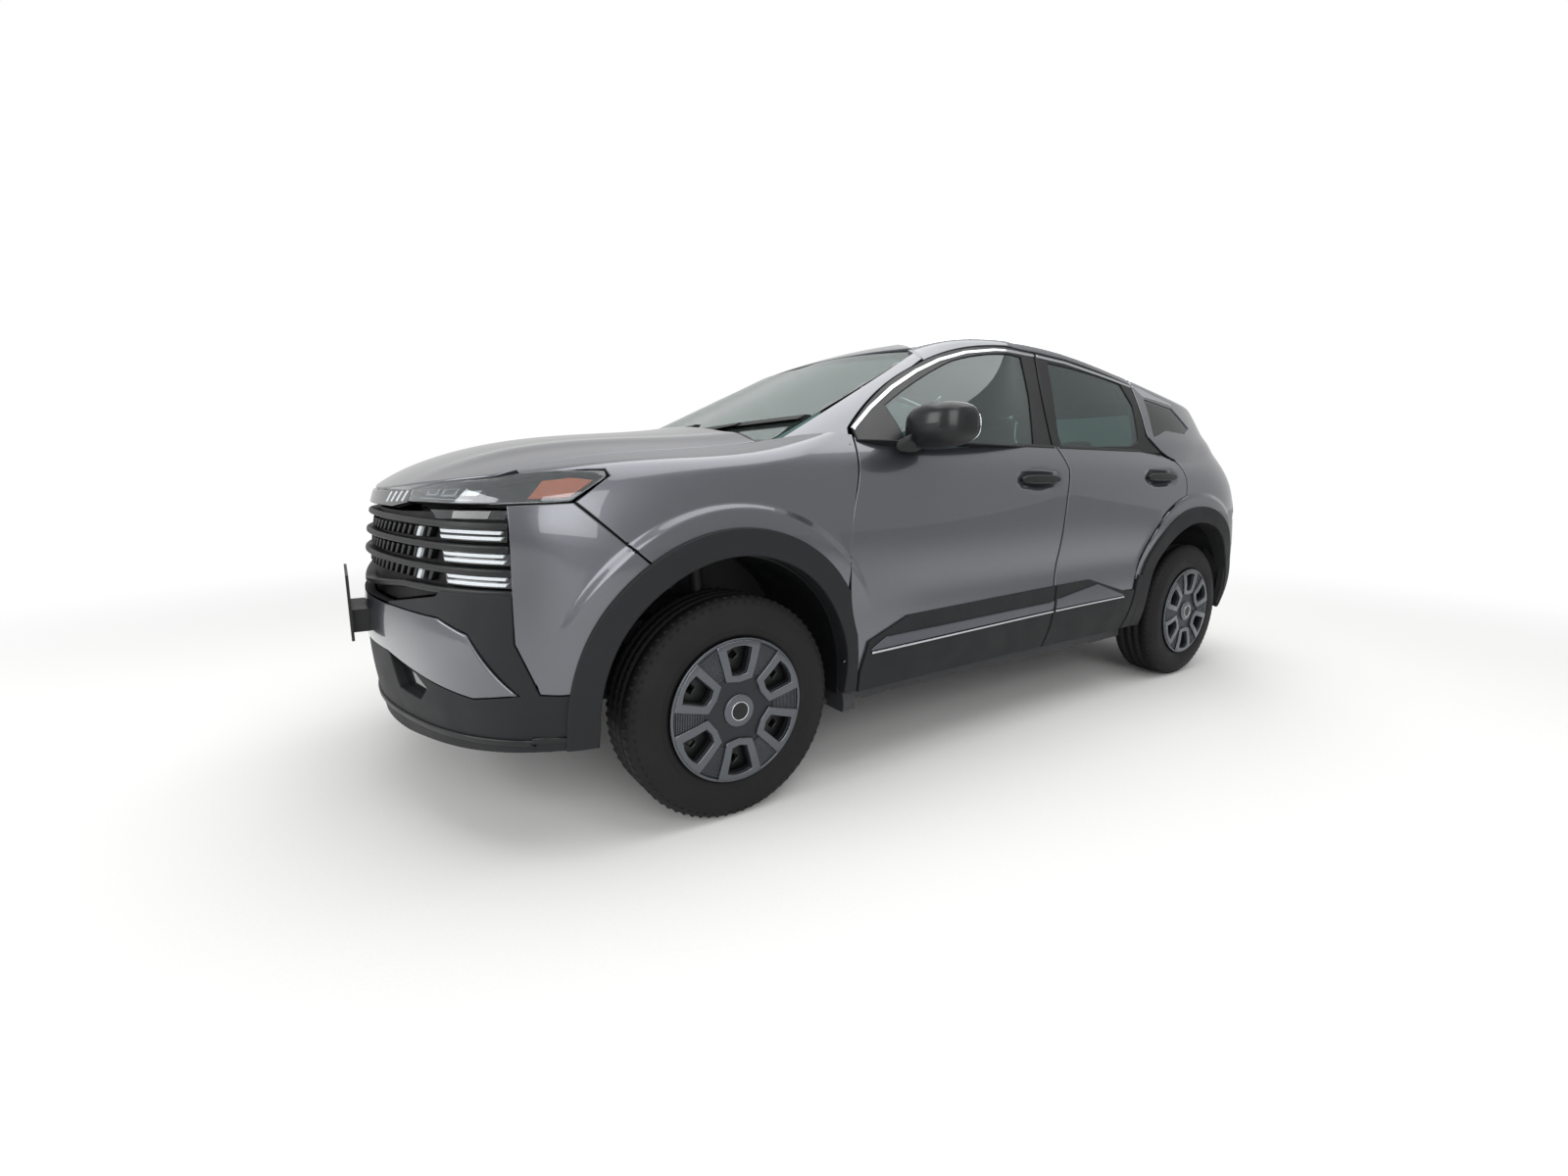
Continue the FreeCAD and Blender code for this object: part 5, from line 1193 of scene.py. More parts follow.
@dataclass
class Doors:
    """Side doors with frames, glass, cladding, blades and handles."""

    skins: Surfaces
    thickness: float = 60.0

    def build(self) -> None:
        """Both doors on both sides."""
        for name, outline, window, strip in (("front", FRONT_DOOR, FRONT_WINDOW, STRIP_FRONT),
                                             ("rear", REAR_DOOR, REAR_WINDOW, STRIP_REAR)):
            bodies = (f"{name}_door_left", f"{name}_door_right")
            self.skin(name, outline, bodies)
            self.frame(name, outline, window, strip, bodies)
            self.cladding(name, outline, bodies)
            self.handle(name, bodies)

    def skin(self, name: str, outline: tuple, bodies: tuple[str, str]) -> None:
        """The door below the belt."""
        chart = self.skins.lower
        seam = chart.side(densify(outline, 13))
        low = chart.side(densify([(380, 296), (380, DOOR_BELT), (2600, DOOR_BELT), (2600, 296)], 20))
        x0, z0 = HANDLE_SPOT[name]
        axle = WHEELBASE if name == "rear" else 0.0

        def press(a: np.ndarray, b: np.ndarray) -> np.ndarray:
            """The handle's dished recess and the flare behind it."""
            spot = chart.raw(a, b)
            u = np.abs((spot[:, 0] - x0) / 150) ** 2.6 + np.abs((spot[:, 2] - z0) / 46) ** 2.6
            dish = np.clip(1 - u, 0, 1)
            waist = 5.0 * np.exp(-((spot[:, 2] - 640) / 70) ** 2)
            back = flare(chart, axle)(a, b)
            return back - 20 * dish * dish * (3 - 2 * dish) - waist * np.clip((spot[:, 0] - 480) / 300, 0, 1)

        loops = [seam, low, chart.side(arch(WHEELBASE, 90))] + flange_lines(chart.side, axle)
        cut = Cut(depth=self.thickness, spacing=17, back=True, back_finish=1)
        both_sides(f"{name}_door_skin", panel(chart, loops, (0, 1), (2,), cut, press), (PAINT, TRIM), Slot.PAINT,
                   [name + "_door_{side}"], bodies)

    def frame(self, name: str, outline: tuple, window: tuple, strip: tuple, bodies: tuple[str, str]) -> None:
        """Black window frame, bright strip, glass and belt seal."""
        chart = self.skins.green
        seam = chart.side(densify(outline, 13))
        upper = chart.side(densify([(380, FRAME_FOOT), (380, 1600), (2600, 1600), (2600, FRAME_FOOT)], 20))
        glass = chart.side(densify(window, 13))
        sheet = panel(chart, [seam, upper, grow(glass, FRAME_TRIM)], (0, 1), (2,),
                      Cut(depth=34, spacing=22, back=True, back_finish=1))
        both_sides(f"{name}_door_frame", sheet, (SATIN, TRIM), Slot.GLOSS, bodies=bodies)
        band = tile(chart, chart.side(ribbon(strip, 11)), 3, 5, 2.5, 40)
        both_sides(f"{name}_window_strip", band, (CHROME,), Slot.ALLOY, bodies=bodies)
        pane = tile(chart, grow(glass, PANE_TUCK), -GLASS_SUNK, 5, 0.5, 34, back=True)
        both_sides(f"{name}_door_pane", pane, (GLASS,), Slot.GLASS, [name + "_door_glass_{side}"], bodies)
        x0, x1 = (500, 1545) if name == "front" else (1577, 2240)
        chart = self.skins.lower
        seal = densify([(x0, DOOR_BELT - 12), (x1, DOOR_BELT - 12), (x1, DOOR_BELT), (x0, DOOR_BELT)], 16)
        both_sides(f"{name}_belt_seal", tile(chart, chart.side(seal), 3, 20, 3, 40), (SATIN,), Slot.GLOSS,
                   bodies=bodies)

    def cladding(self, name: str, outline: tuple, bodies: tuple[str, str]) -> None:
        """Lower cladding with its painted blade and bright line."""
        chart = self.skins.lower
        seam = chart.side(densify(outline, 13))
        opening = chart.side(arch(WHEELBASE, 92))
        blade = chart.side(open_line(BLADE_EDGE) + open_line([(2049, 477), (1800, 473), (501, 445)]))
        line = chart.side(ribbon([(501, 442), (1800, 470), (2049, 475)], 7))
        whole = [panel(chart, [seam, chart.side(densify(TRIM_TOP)), opening], (0, 1), (2,),
                       Cut(lift=CLADDING_OUT, depth=16, hem=5, spacing=24)),
                 panel(chart, [grow(seam, -7), blade, opening], (0, 1), (2,),
                       Cut(gap=0, lift=CLADDING_OUT + 5, depth=8, hem=4, spacing=24, finish=1)),
                 panel(chart, [grow(seam, -7), line, opening], (0, 1), (2,),
                       Cut(gap=0, lift=CLADDING_OUT + 7, depth=9, hem=2, spacing=60, finish=2))]
        both_sides(f"{name}_door_cladding", Sheet().joined(*whole), (CLADDING, BLADE, CHROME), Slot.CLADDING,
                   [name + "_door_trim_{side}"], bodies)

    def handle(self, name: str, bodies: tuple[str, str]) -> None:
        """A black pull handle across the recess."""
        chart = self.skins.lower
        x0, z0 = HANDLE_SPOT[name]
        half, high = 122.0, 17.0
        turns = [2 * math.pi * k / 60 for k in range(60)]
        loop = [(x0 + half * squared(math.cos(t), 0.5), z0 + high * squared(math.sin(t), 0.8)) for t in turns]

        def bow(a: np.ndarray, b: np.ndarray) -> np.ndarray:
            """The grip stands off most in its middle."""
            return 6 * (1 - np.clip(np.abs(chart.raw(a, b)[:, 0] - x0) / half, 0, 1) ** 2)

        sheet = tile(chart, chart.side(loop), 12, 26, 8, 14, shape=bow)
        both_sides(f"{name}_door_handle", sheet, (SATIN,), Slot.GLOSS, bodies=bodies)


def loft_piece(rings: Sequence[np.ndarray], finish: int = 0) -> Sheet:
    """A closed skin through rings of equally many points, capped at both ends.

    Args:
        rings: Rings in millimetres, x from the front axle, each turning clockwise seen along the run.
        finish: Material index.

    Returns:
        Mesh data without custom normals.
    """
    sheet = Sheet()
    n = len(rings[0])
    for ring in rings:
        for x, y, z in ring:
            sheet.verts.append(((x + SETBACK) / 1000, y / 1000, z / 1000))
    for k in range(len(rings) - 1):
        for i in range(n):
            j = (i + 1) % n
            sheet.faces.append((k * n + i, k * n + j, (k + 1) * n + j, (k + 1) * n + i))
    sheet.faces.append(tuple(range(n - 1, -1, -1)))
    sheet.faces.append(tuple(range((len(rings) - 1) * n, len(rings) * n)))
    sheet.finish = [finish] * len(sheet.faces)
    return sheet


def soft_piece(name: str, sheet: Sheet, body: str, finishes: Sequence[Finish], slot: Slot,
               levels: int) -> bpy.types.Object:
    """A piece from a coarse cage, subdivided, with outward normals."""
    obj = mesh_piece(name, Sheet(sheet.verts, [], sheet.faces, sheet.finish), body, finishes, slot)
    tidy = bmesh.new()
    tidy.from_mesh(obj.data)
    bmesh.ops.remove_doubles(tidy, verts=tidy.verts, dist=1e-5)
    bmesh.ops.recalc_face_normals(tidy, faces=tidy.faces)
    tidy.to_mesh(obj.data)
    tidy.free()
    if levels:
        subdivide(obj, levels)
    for poly in obj.data.polygons:
        poly.use_smooth = True
    return obj


def subdivide(obj: bpy.types.Object, levels: int) -> None:
    """Subdivide an object's mesh for good."""
    mod = obj.modifiers.new("smooth", "SUBSURF")
    mod.levels = mod.render_levels = levels
    bake(obj)


def bake(obj: bpy.types.Object) -> None:
    """Replace an object's mesh by its evaluated one and drop its modifiers."""
    graph = bpy.context.evaluated_depsgraph_get()
    made = bpy.data.meshes.new_from_object(obj.evaluated_get(graph))
    obj.modifiers.clear()
    obj.data = made


def squared(value: float, power: float) -> float:
    """A cosine or sine bent towards a square's, with its sign."""
    return math.copysign(abs(value) ** power, value)


def ellipse(centre: tuple, across_axis: tuple, up_axis: tuple, count: int, power: float) -> np.ndarray:
    """A squared ellipse from its centre and two half axes."""
    c, a, b = np.array(centre, float), np.array(across_axis, float), np.array(up_axis, float)
    turns = [2 * math.pi * k / count for k in range(count)]
    return np.array([c + a * squared(math.cos(t), power) + b * squared(math.sin(t), power) for t in turns])


@dataclass
class Mirrors:
    """Door mirrors: black lower housing, satin cap, glass and foot."""

    foot: tuple[float, float, float] = (648.0, 868.0, 1108.0)
    middle: tuple[float, float, float] = (716.0, 944.0, 1176.0)
    half: tuple[float, float] = (84.0, 72.0)

    def build(self) -> None:
        """Both mirrors, on the front doors."""
        x0, y0, z0 = self.middle
        sx0, sz0 = self.half
        fx, fy, fz = self.foot
        stations = ((-118, 0.42, 0.48, 10), (-104, 0.78, 0.80, 3), (-62, 0.98, 1.0, 0), (0, 1.02, 1.04, -3),
                    (62, 0.96, 0.98, 4), (98, 0.74, 0.80, 14), (112, 0.40, 0.44, 22))
        housing = loft_piece([ellipse((x0 + lag + 4, y0 + dy, z0 + 0.06 * dy), (sx0 * sx, 0, 0),
                                      (0, 0, sz0 * sz), 24, 0.7) for dy, sx, sz, lag in stations])
        for k, face in enumerate(housing.faces):
            height = sum(housing.verts[i][2] for i in face) / len(face)
            housing.finish[k] = int(height > (z0 - 8) / 1000 and len(face) == 4)
        arm = [ellipse((fx + 30 * t, fy + (y0 - 40 - fy) * t, fz + 30 * t), (58 - 12 * t, 0, 0),
                       (0, 0, 22 - 3 * t), 24, 0.7) for t in QUARTERS]
        whole = housing.joined(loft_piece(arm))
        for side, turn in (("right", 1), ("left", -1)):
            sheet = Sheet([(x, turn * y, z) for x, y, z in whole.verts], [], whole.faces, whole.finish)
            soft_piece(f"mirror_{side}", sheet, f"front_door_{side}", (SATIN, CAP), Slot.GLOSS, 2)
            pane = [ellipse((x0 + sx0 + 7 + d, turn * (y0 + 2), z0 + 2), (0, 92 * s, 0), (0, 0, 54 * s), 32, 0.7)
                    for d, s in ((-4, 1.0), (0, 1.0), (1.5, 0.97))]
            soft_piece(f"mirror_glass_{side}", loft_piece(pane), f"front_door_{side}", (MIRROR,), Slot.GLASS, 1)


@dataclass
class Shell:
    """Body sides, roof, glass, tailgate, rear bumper and arch cladding."""

    skins: Surfaces

    def pillars(self) -> None:
        """A-pillars and cant rails."""
        green, cant = self.skins.green, self.skins.cant
        screen = green.front(open_line([(714, 1106), (572, 1480)]))
        door = green.side([(960, 1478), (960, 1452)]) + green.side(open_line(
            [(960, 1452), (886, 1412), (680, 1306, "via"), (487, 1172), (470, 1142), (452, 1112)]))
        both_sides("a_pillar", panel(green, [screen + door], cut=Cut(depth=26, spacing=20)), (PAINT,), Slot.PAINT)
        low = open_line([(955, 1442), (1168, 1509, "via"), (1480, 1537), (1620, 1537), (1820, 1527),
                         (2080, 1491, "via"), (2306, 1447)], 16)
        top = [(x, CANT_HALF) for x in np.arange(2306, 984, -24)] + [(965, 552), (955, 566)]
        sheet = panel(cant, [cant.by_z(low) + cant.by_y(top)], cut=Cut(depth=20, spacing=20, gap=4))
        both_sides("cant_rail", sheet, (PAINT,), Slot.PAINT, ["body_sides"])

    def quarters(self) -> None:
        """Rear quarters over the shoulder, with the fuel flap on the right."""
        tail = self.skins.tail
        seam = tail.side(open_line(QUARTER_TRAIL)[::-1])
        rail = tail.plan([(x, CANT_HALF) for x in np.arange(2309, 2940, 24)])
        gate = tail.rear(open_line([(517, 1470), (517, 1420), (562, 1300), (614, 1095), (614, 1034)], 16))
        lamp = tail.side([(3230, 1026), (3137, 1014), (3137, 900), (3137, 798), (3230, 798)])
        bumper = tail.rear([(614, 798), (602, 692)]) + tail.side(
            open_line([(3217, 690), (3037, 560), (3037, 500)], 16))
        window = tail.side(densify(QUARTER_WINDOW, 12))
        flap = tail.side(densify([(2735, 902), (2747, 890), (2880, 890), (2892, 902), (2892, 999), (2880, 1011),
                                  (2747, 1011), (2735, 999)], 12))
        shape = flare(tail, WHEELBASE)
        loops = [seam + rail + gate + lamp + bumper, tail.side(arch(WHEELBASE)), grow(window, FRAME_TRIM)]
        lines = flange_lines(tail.side, WHEELBASE)
        cut = Cut(depth=20, spacing=22)
        whole = panel(tail, loops + lines, (0,), (1, 2), cut, shape)
        holed = panel(tail, loops + [flap] + lines, (0,), (1, 2, 3), cut, shape)
        mesh_piece("quarter_panel_right", holed, "body", (PAINT,), Slot.PAINT)
        mesh_piece("quarter_panel_left", whole.mirrored(), "body", (PAINT,), Slot.PAINT)
        lid = panel(tail, [flap], cut=Cut(depth=8, spacing=20, back=True), shape=shape)
        mesh_piece("fuel_flap_lid", lid, "fuel_flap", (PAINT,), Slot.PAINT, ["fuel_flap"])
        pane = tile(tail, grow(window, PANE_TUCK), -GLASS_SUNK, 5, 0.5, 34)
        both_sides("quarter_pane", pane, (GLASS,), Slot.GLASS, ["quarter_windows"])
        strip = tail.side(densify([(2312, 1448), (2377, 1396), (2611, 1369), (2632, 1362), (2640, 1380),
                                   (2480, 1412), (2380, 1438)], 12))
        both_sides("quarter_strip", tile(tail, strip, 3, 6, 3, 30), (CHROME,), Slot.ALLOY)

    def roof(self) -> None:
        """Roof skin with its side ditches."""
        half = CANT_HALF - 4
        ys = np.linspace(-half, half, 60)
        loop = [(952 + 132 * (y / 1000) ** 2, y) for y in ys] + [(x, half) for x in np.arange(1010, 2930, 40)]
        loop += [(2938, y) for y in ys[::-1]] + [(x, -half) for x in np.arange(2900, 1010, -40)]
        sheet = panel(self.skins.roof, [loop], cut=Cut(depth=18, hem=5, spacing=40, back=True, back_finish=1))
        mesh_piece("roof_skin", sheet, "body", (PAINT, LINING), Slot.PAINT, ["roof_panel"])

    def screen(self) -> None:
        """Windshield with its black border."""
        green = self.skins.green
        outline = green.front(densify(SCREEN, 22))
        pane = tile(green, grow(outline, -2), -3, 5, 1, 50, back=True)
        mesh_piece("windshield_pane", pane, "body", (SCREEN_GLASS,), Slot.GLASS, ["windshield"])
        border = tile(green, grow(outline, -2), -9, 2, 0.5, 60, holes=[grow(outline, -34)])
        mesh_piece("windshield_border", border, "body", (GLOSS,), Slot.GLOSS)

    def gate(self) -> None:
        """Tailgate with its window, spoiler and lamp inserts."""
        tail = self.skins.tail
        low = tail.rear(open_line([(20, 696), (597, 696)], 20))
        up = tail.rear(open_line([(597, 696), (608, 960), (608, 1095), (556, 1300), (511, 1420), (511, 1466)], 16))
        top = tail.plan([(2990, 500), (2950, 492), (2947, 460), (2947, 300), (2947, 150)])
        window = rear_across(tail.rear(open_line([(4, 1105), (520, 1105), (455, 1395), (4, 1395)], 18)))
        sheet = panel(tail, [rear_across(low + up + top), grow(window, FRAME_TRIM)], (0,), (1,),
                      Cut(depth=34, spacing=24, back=True, back_finish=1))
        mesh_piece("tailgate_skin", sheet, "tailgate", (PAINT, TRIM), Slot.PAINT, ["tailgate"])
        pane = tile(tail, grow(window, PANE_TUCK), -GLASS_SUNK, 5, 0.5, 40, back=True)
        mesh_piece("tailgate_pane", pane, "tailgate", (GLASS,), Slot.GLASS, ["tailgate_glass"])
        lip = rear_across(tail.rear(open_line([(4, 1412), (470, 1412), (500, 1452)], 18))
                          + tail.plan([(3010, 470), (3040, 300), (3050, 10)]))

        def wedge(a: np.ndarray, b: np.ndarray) -> np.ndarray:
            """The spoiler stands off towards its trailing edge."""
            return 26 * np.exp(-((tail.raw(a, b)[:, 2] - 1452) / 34) ** 2)

        spoiler = tile(tail, lip, 2, 10, 5, 20, shape=wedge)
        mesh_piece("tailgate_spoiler", spoiler, "tailgate", (PAINT,), Slot.PAINT)
        light = rear_across(tail.rear(open_line([(4, 940), (596, 940), (598, 1000), (4, 1000)], 18)))
        mesh_piece("tailgate_light_band", tile(tail, light, 4, 8, 4, 40), "tailgate", (GLOSS,), Slot.TAIL)
        inner = tail.rear(densify([(380, 948), (592, 948), (592, 992), (400, 992)], 16))
        lamps = Sheet().joined(*[tile(tail, loop, 8, 6, 3, 40) for loop in (inner, other_side(inner))])
        mesh_piece("tailgate_lamps", lamps, "tailgate", (RED,), Slot.TAIL)

    def rear_end(self) -> None:
        """Rear bumper and tail lamps."""
        tail = self.skins.tail
        upper = (tail.rear(open_line([(4, 686), (600, 686)], 20))
                 + tail.side(open_line([(3215, 684), (3040, 562), (3030, 556)], 16))
                 + tail.rear(open_line([(640, 540), (4, 520)], 20)))
        sheet = panel(tail, [rear_across(upper)], cut=Cut(depth=24, spacing=26))
        mesh_piece("rear_bumper_upper", sheet, "body", (PAINT,), Slot.PAINT, ["rear_bumper"])
        lower = (tail.rear(open_line([(4, 515), (640, 535)], 20))
                 + tail.side(open_line([(3030, 550), (3037, 420), (3040, 330)], 16))
                 + tail.rear(open_line([(640, 270), (4, 252)], 20)))
        sheet = panel(tail, [rear_across(lower)], cut=Cut(depth=30, spacing=26, lift=4, hem=5))
        mesh_piece("rear_bumper_lower", sheet, "body", (CLADDING,), Slot.CLADDING)
        lamp = densify(tail.rear([(618, 1028)]) + tail.side(
            [(3230, 1022), (3141, 1010), (3141, 900), (3141, 802), (3230, 802)]) + tail.rear(
            [(618, 802), (618, 900)]), 16)
        lens = panel(tail, [lamp], cut=Cut(depth=16, gap=3, hem=4, spacing=20))
        inside = tile(tail, grow(lamp, -22), 3, 6, 3, 20, 1)
        both_sides("tail_lamp", lens.joined(inside), (RED, RED_DEEP), Slot.TAIL, ["tail_lamps"])

    def arches(self) -> None:
        """Black cladding bands round the wheel openings and the sill ends behind the rear doors."""
        chart = self.skins.lower
        end = chart.side(densify([(2103, 310), (2163, 530), (2180, 560), (2214, 560), (2214, 540), (2184, 470),
                                  (2174, 386), (2174, 310)], 12))
        for name, x, door, depth in (("front", 0.0, FRONT_DOOR, 66), ("rear", WHEELBASE, REAR_DOOR, 105)):
            loops = [chart.side(densify(circle(x, ARCH_Z, radius, foot), 13))
                     for radius, foot in ((ARCH_RADIUS + ARCH_BAND, 310), (ARCH_RADIUS, ARCH_FOOT))]
            loops.append(grow(chart.side(densify(door, 13)), 4))
            band = panel(chart, loops, (0,), (1, 2), Cut(lift=CLADDING_OUT, depth=depth, hem=6, gap=1, spacing=22),
                         flare(chart, x))
            if name == "rear":
                cut = Cut(lift=CLADDING_OUT, depth=20, hem=4, gap=1, spacing=20)
                band = band.joined(panel(chart, [end], cut=cut))
            both_sides(f"{name}_arch_band", band, (CLADDING,), Slot.CLADDING, ["arch_trims"] * (name == "front"))


class WheelChart(Chart):
    """The outer face of a wheel as a surface over its flat side view."""

    def __init__(self) -> None:
        """Sample the dished face of the right front wheel."""
        u = np.arange(-232, 232.1, 4.0)
        gx, gz = np.meshgrid(u, u, indexing="ij")
        face = np.interp(np.hypot(gx, gz), [0, 30, 60, 90, 150, 200, 214, 235],
                         [103.5, 103, 100, 99.5, 104, 103, 100, 94])
        super().__init__(u, u + AXLE_Z, np.stack([gx, TRACK_HALF + face, gz + AXLE_Z], 2))


@dataclass
class Wheels:
    """Tyres with tread blocks and sidewall rings, and the six-window covers."""

    windows: int = 6
    rim: float = 217.0

    def build(self) -> None:
        """All four wheels from the right front one."""
        cover, ribs, tyre, tread = self.cover(), self.ribs(), self.tyre(), self.tread()
        for axle, x in (("front", 0.0), ("rear", WHEELBASE)):
            for side in ("right", "left"):
                body = f"{axle}_wheel_{side}"
                for name, sheet, finishes, slot, nodes in (
                        ("cover", cover, (COVER, STEEL, CHROME, SATIN, COVER_SHADE), Slot.WHEEL, [body]),
                        ("ribs", ribs, (COVER,), Slot.WHEEL, []),
                        ("tyre", tyre, (TYRE,), Slot.TYRE, [f"{axle}_tyre_{side}"]),
                        ("tread", tread, (TYRE,), Slot.TYRE, [])):
                    data = moved(sheet, x)
                    if side == "left":
                        data = data.mirrored()
                    mesh_piece(f"{axle}_{name}_{side}", data, body, finishes, slot, nodes)

    def spin(self, points: Sequence[tuple], k: int) -> Loop:
        """Points about the hub, turned by k windows."""
        t = 2 * math.pi * k / self.windows
        c, s = math.cos(t), math.sin(t)
        return [(x * c + z * s, -x * s + z * c + AXLE_Z) for x, z in points]

    def cover(self) -> Sheet:
        """Cover with its windows, their raised frames, hub dome and the steel wheel behind."""
        chart = WheelChart()

        def disc(radius: float, step: float) -> Loop:
            """A full circle about the hub."""
            return densify(circle(0, AXLE_Z, radius), step)

        hole = [(-22, 114), (0, 109), (22, 114), (39, 184), (20, 191), (0, 193), (-20, 191), (-39, 184)]
        outer = [(-44, 92), (0, 85), (44, 92), (74, 198), (38, 208), (0, 211), (-38, 208), (-74, 198)]
        turns = range(self.windows)
        holes = [densify(self.spin(hole, k), 10) for k in turns]
        rim, badge = disc(self.rim, 12), disc(29, 6)
        # The base face takes the darker, painted-shade copy of the cover's grey (material 4).
        parts = [tile(chart, rim, -2, 22, 4, 16, 4, holes)]
        parts += [tile(chart, densify(self.spin(outer, k), 9), 7, 12, 4, 14, holes=[grow(holes[k], 2)])
                  for k in turns]
        spots = [self.spin([(0, 160)], k)[0] for k in turns]
        slots = [densify([(x - 14, z), (x, z + 14), (x + 14, z), (x, z - 14)], 6) for x, z in spots]
        parts += [tile(chart, rim, 4, 8, 3, 30, holes=[grow(rim, -9)]), tile(chart, disc(50, 8), 5, 8, 5, 12),
                  tile(chart, badge, 7.5, 4, 1, 20, 2, [grow(badge, -3)]),
                  tile(chart, grow(badge, -3), 6.5, 2, 0.5, 12, 3),
                  tile(chart, disc(206, 14), -36, 12, 5, 24, 1, slots)]
        return Sheet().joined(*parts)

    def ribs(self) -> Sheet:
        """Fine raised ribs across the wedges between the windows."""
        base = Sheet()
        bar = [(-22, AXLE_Z + 118), (22, AXLE_Z + 118), (22, AXLE_Z + 119.8), (-22, AXLE_Z + 119.8)]
        sheet = tile(WheelChart(), densify(bar, 12), 2.2, 3, 0.7, 30)
        for row in range(17):
            up = row * 5.0
            wider = (118 + up - 95) / 24 * 0.62 + 0.35
            for k in range(self.windows):
                t = 2 * math.pi * (k + 0.5) / self.windows
                c, s = math.cos(t), math.sin(t)
                verts, normals = [], []
                for (x, y, z), (nx, ny, nz) in zip(sheet.verts, sheet.normals):
                    mx, mz = (x * 1000 - SETBACK) * wider, z * 1000 - AXLE_Z + up
                    verts.append(((mx * c + mz * s + SETBACK) / 1000, y, (-mx * s + mz * c + AXLE_Z) / 1000))
                    normals.append((nx * c + nz * s, ny, -nx * s + nz * c))
                base.add(np.array(verts), np.array(normals), sheet.faces, sheet.finish)
        return base

    def tyre(self) -> Sheet:
        """The tyre's carcass with bead, sidewall steps and grooved tread."""
        right = [(0, 328.5), (4, 328.5), (5, 335.5), (30, 336), (31.5, 328.5), (41, 328.5), (42.5, 336),
                 (70, 335), (82, 331), (90, 322), (95, 312), (97.5, 308), (97.7, 300), (100, 296), (102, 280),
                 (102.5, 262), (101, 247), (100.9, 244), (99, 241), (98, 233), (96.5, 226), (92, 220), (86, 216)]
        return lathe(right + [(80, 207), (-80, 207)] + [(-y, r) for y, r in reversed(right[1:])], 128)

    def tread(self) -> Sheet:
        """Shoulder and rib blocks round the tread, instanced by a node tree."""
        block = Sheet()
        w = 5.6
        for y0, y1, lean, lo, hi, tilt in (
                (47, 78, 5, 326.0, 336.5, 0), (-78, -47, -5, 326.0, 336.5, 0), (8.5, 27, 4, 326.0, 336.6, 0),
                (-27, -8.5, -4, 326.0, 336.6, 0), (80, 94, 0, 318.0, 329.0, -9), (-94, -80, 0, 318.0, 329.0, -9)):
            outermost = max(y0, y1, key=abs)
            corners = ((-w, y0, -0.5, 1.0), (-w, y1, 0.5, -1.0), (w, y1, 0.5, -1.0), (w, y0, -0.5, 1.0))
            spots = [(x + lean * s, y, lo) for x, y, s, _ in corners]
            spots += [(x * 0.88 + lean * s, y + e, hi + tilt * (y == outermost)) for x, y, s, e in corners]
            start = len(block.verts)
            block.verts += [(x / 1000, y / 1000, z / 1000) for x, y, z in spots]
            block.faces += [tuple(start + i for i in f) for f in
                            ((3, 2, 1, 0), (4, 5, 6, 7), (0, 1, 5, 4), (1, 2, 6, 5), (2, 3, 7, 6), (3, 0, 4, 7))]
        return instanced(block, 72, "tread_pitches", TYRE)


def moved(sheet: Sheet, x: float) -> Sheet:
    """The same data set back by a distance in millimetres."""
    return Sheet([(vx + x / 1000, vy, vz) for vx, vy, vz in sheet.verts], sheet.normals, sheet.faces, sheet.finish)


def lathe(profile: Sequence[tuple], steps: int) -> Sheet:
    """Turn a closed (y, radius) profile about the right front wheel's axis."""
    sheet = Sheet()
    n = len(profile)
    outwards = twice_area(np.array(profile, float)) > 0
    for k in range(steps):
        t = 2 * math.pi * k / steps
        sheet.verts += [((SETBACK + r * math.sin(t)) / 1000, (TRACK_HALF + y) / 1000,
                         (AXLE_Z + r * math.cos(t)) / 1000) for y, r in profile]
    for k in range(steps):
        m = (k + 1) % steps
        for i in range(n):
            j = (i + 1) % n
            face = (k * n + i, k * n + j, m * n + j, m * n + i)
            sheet.faces.append(face if outwards else face[::-1])
    sheet.finish = [0] * len(sheet.faces)
    return sheet


def added(name: str, data: bpy.types.ID) -> bpy.types.Object:
    """A new object in the scene."""
    obj = bpy.data.objects.new(name, data)
    bpy.context.scene.collection.objects.link(obj)
    return obj


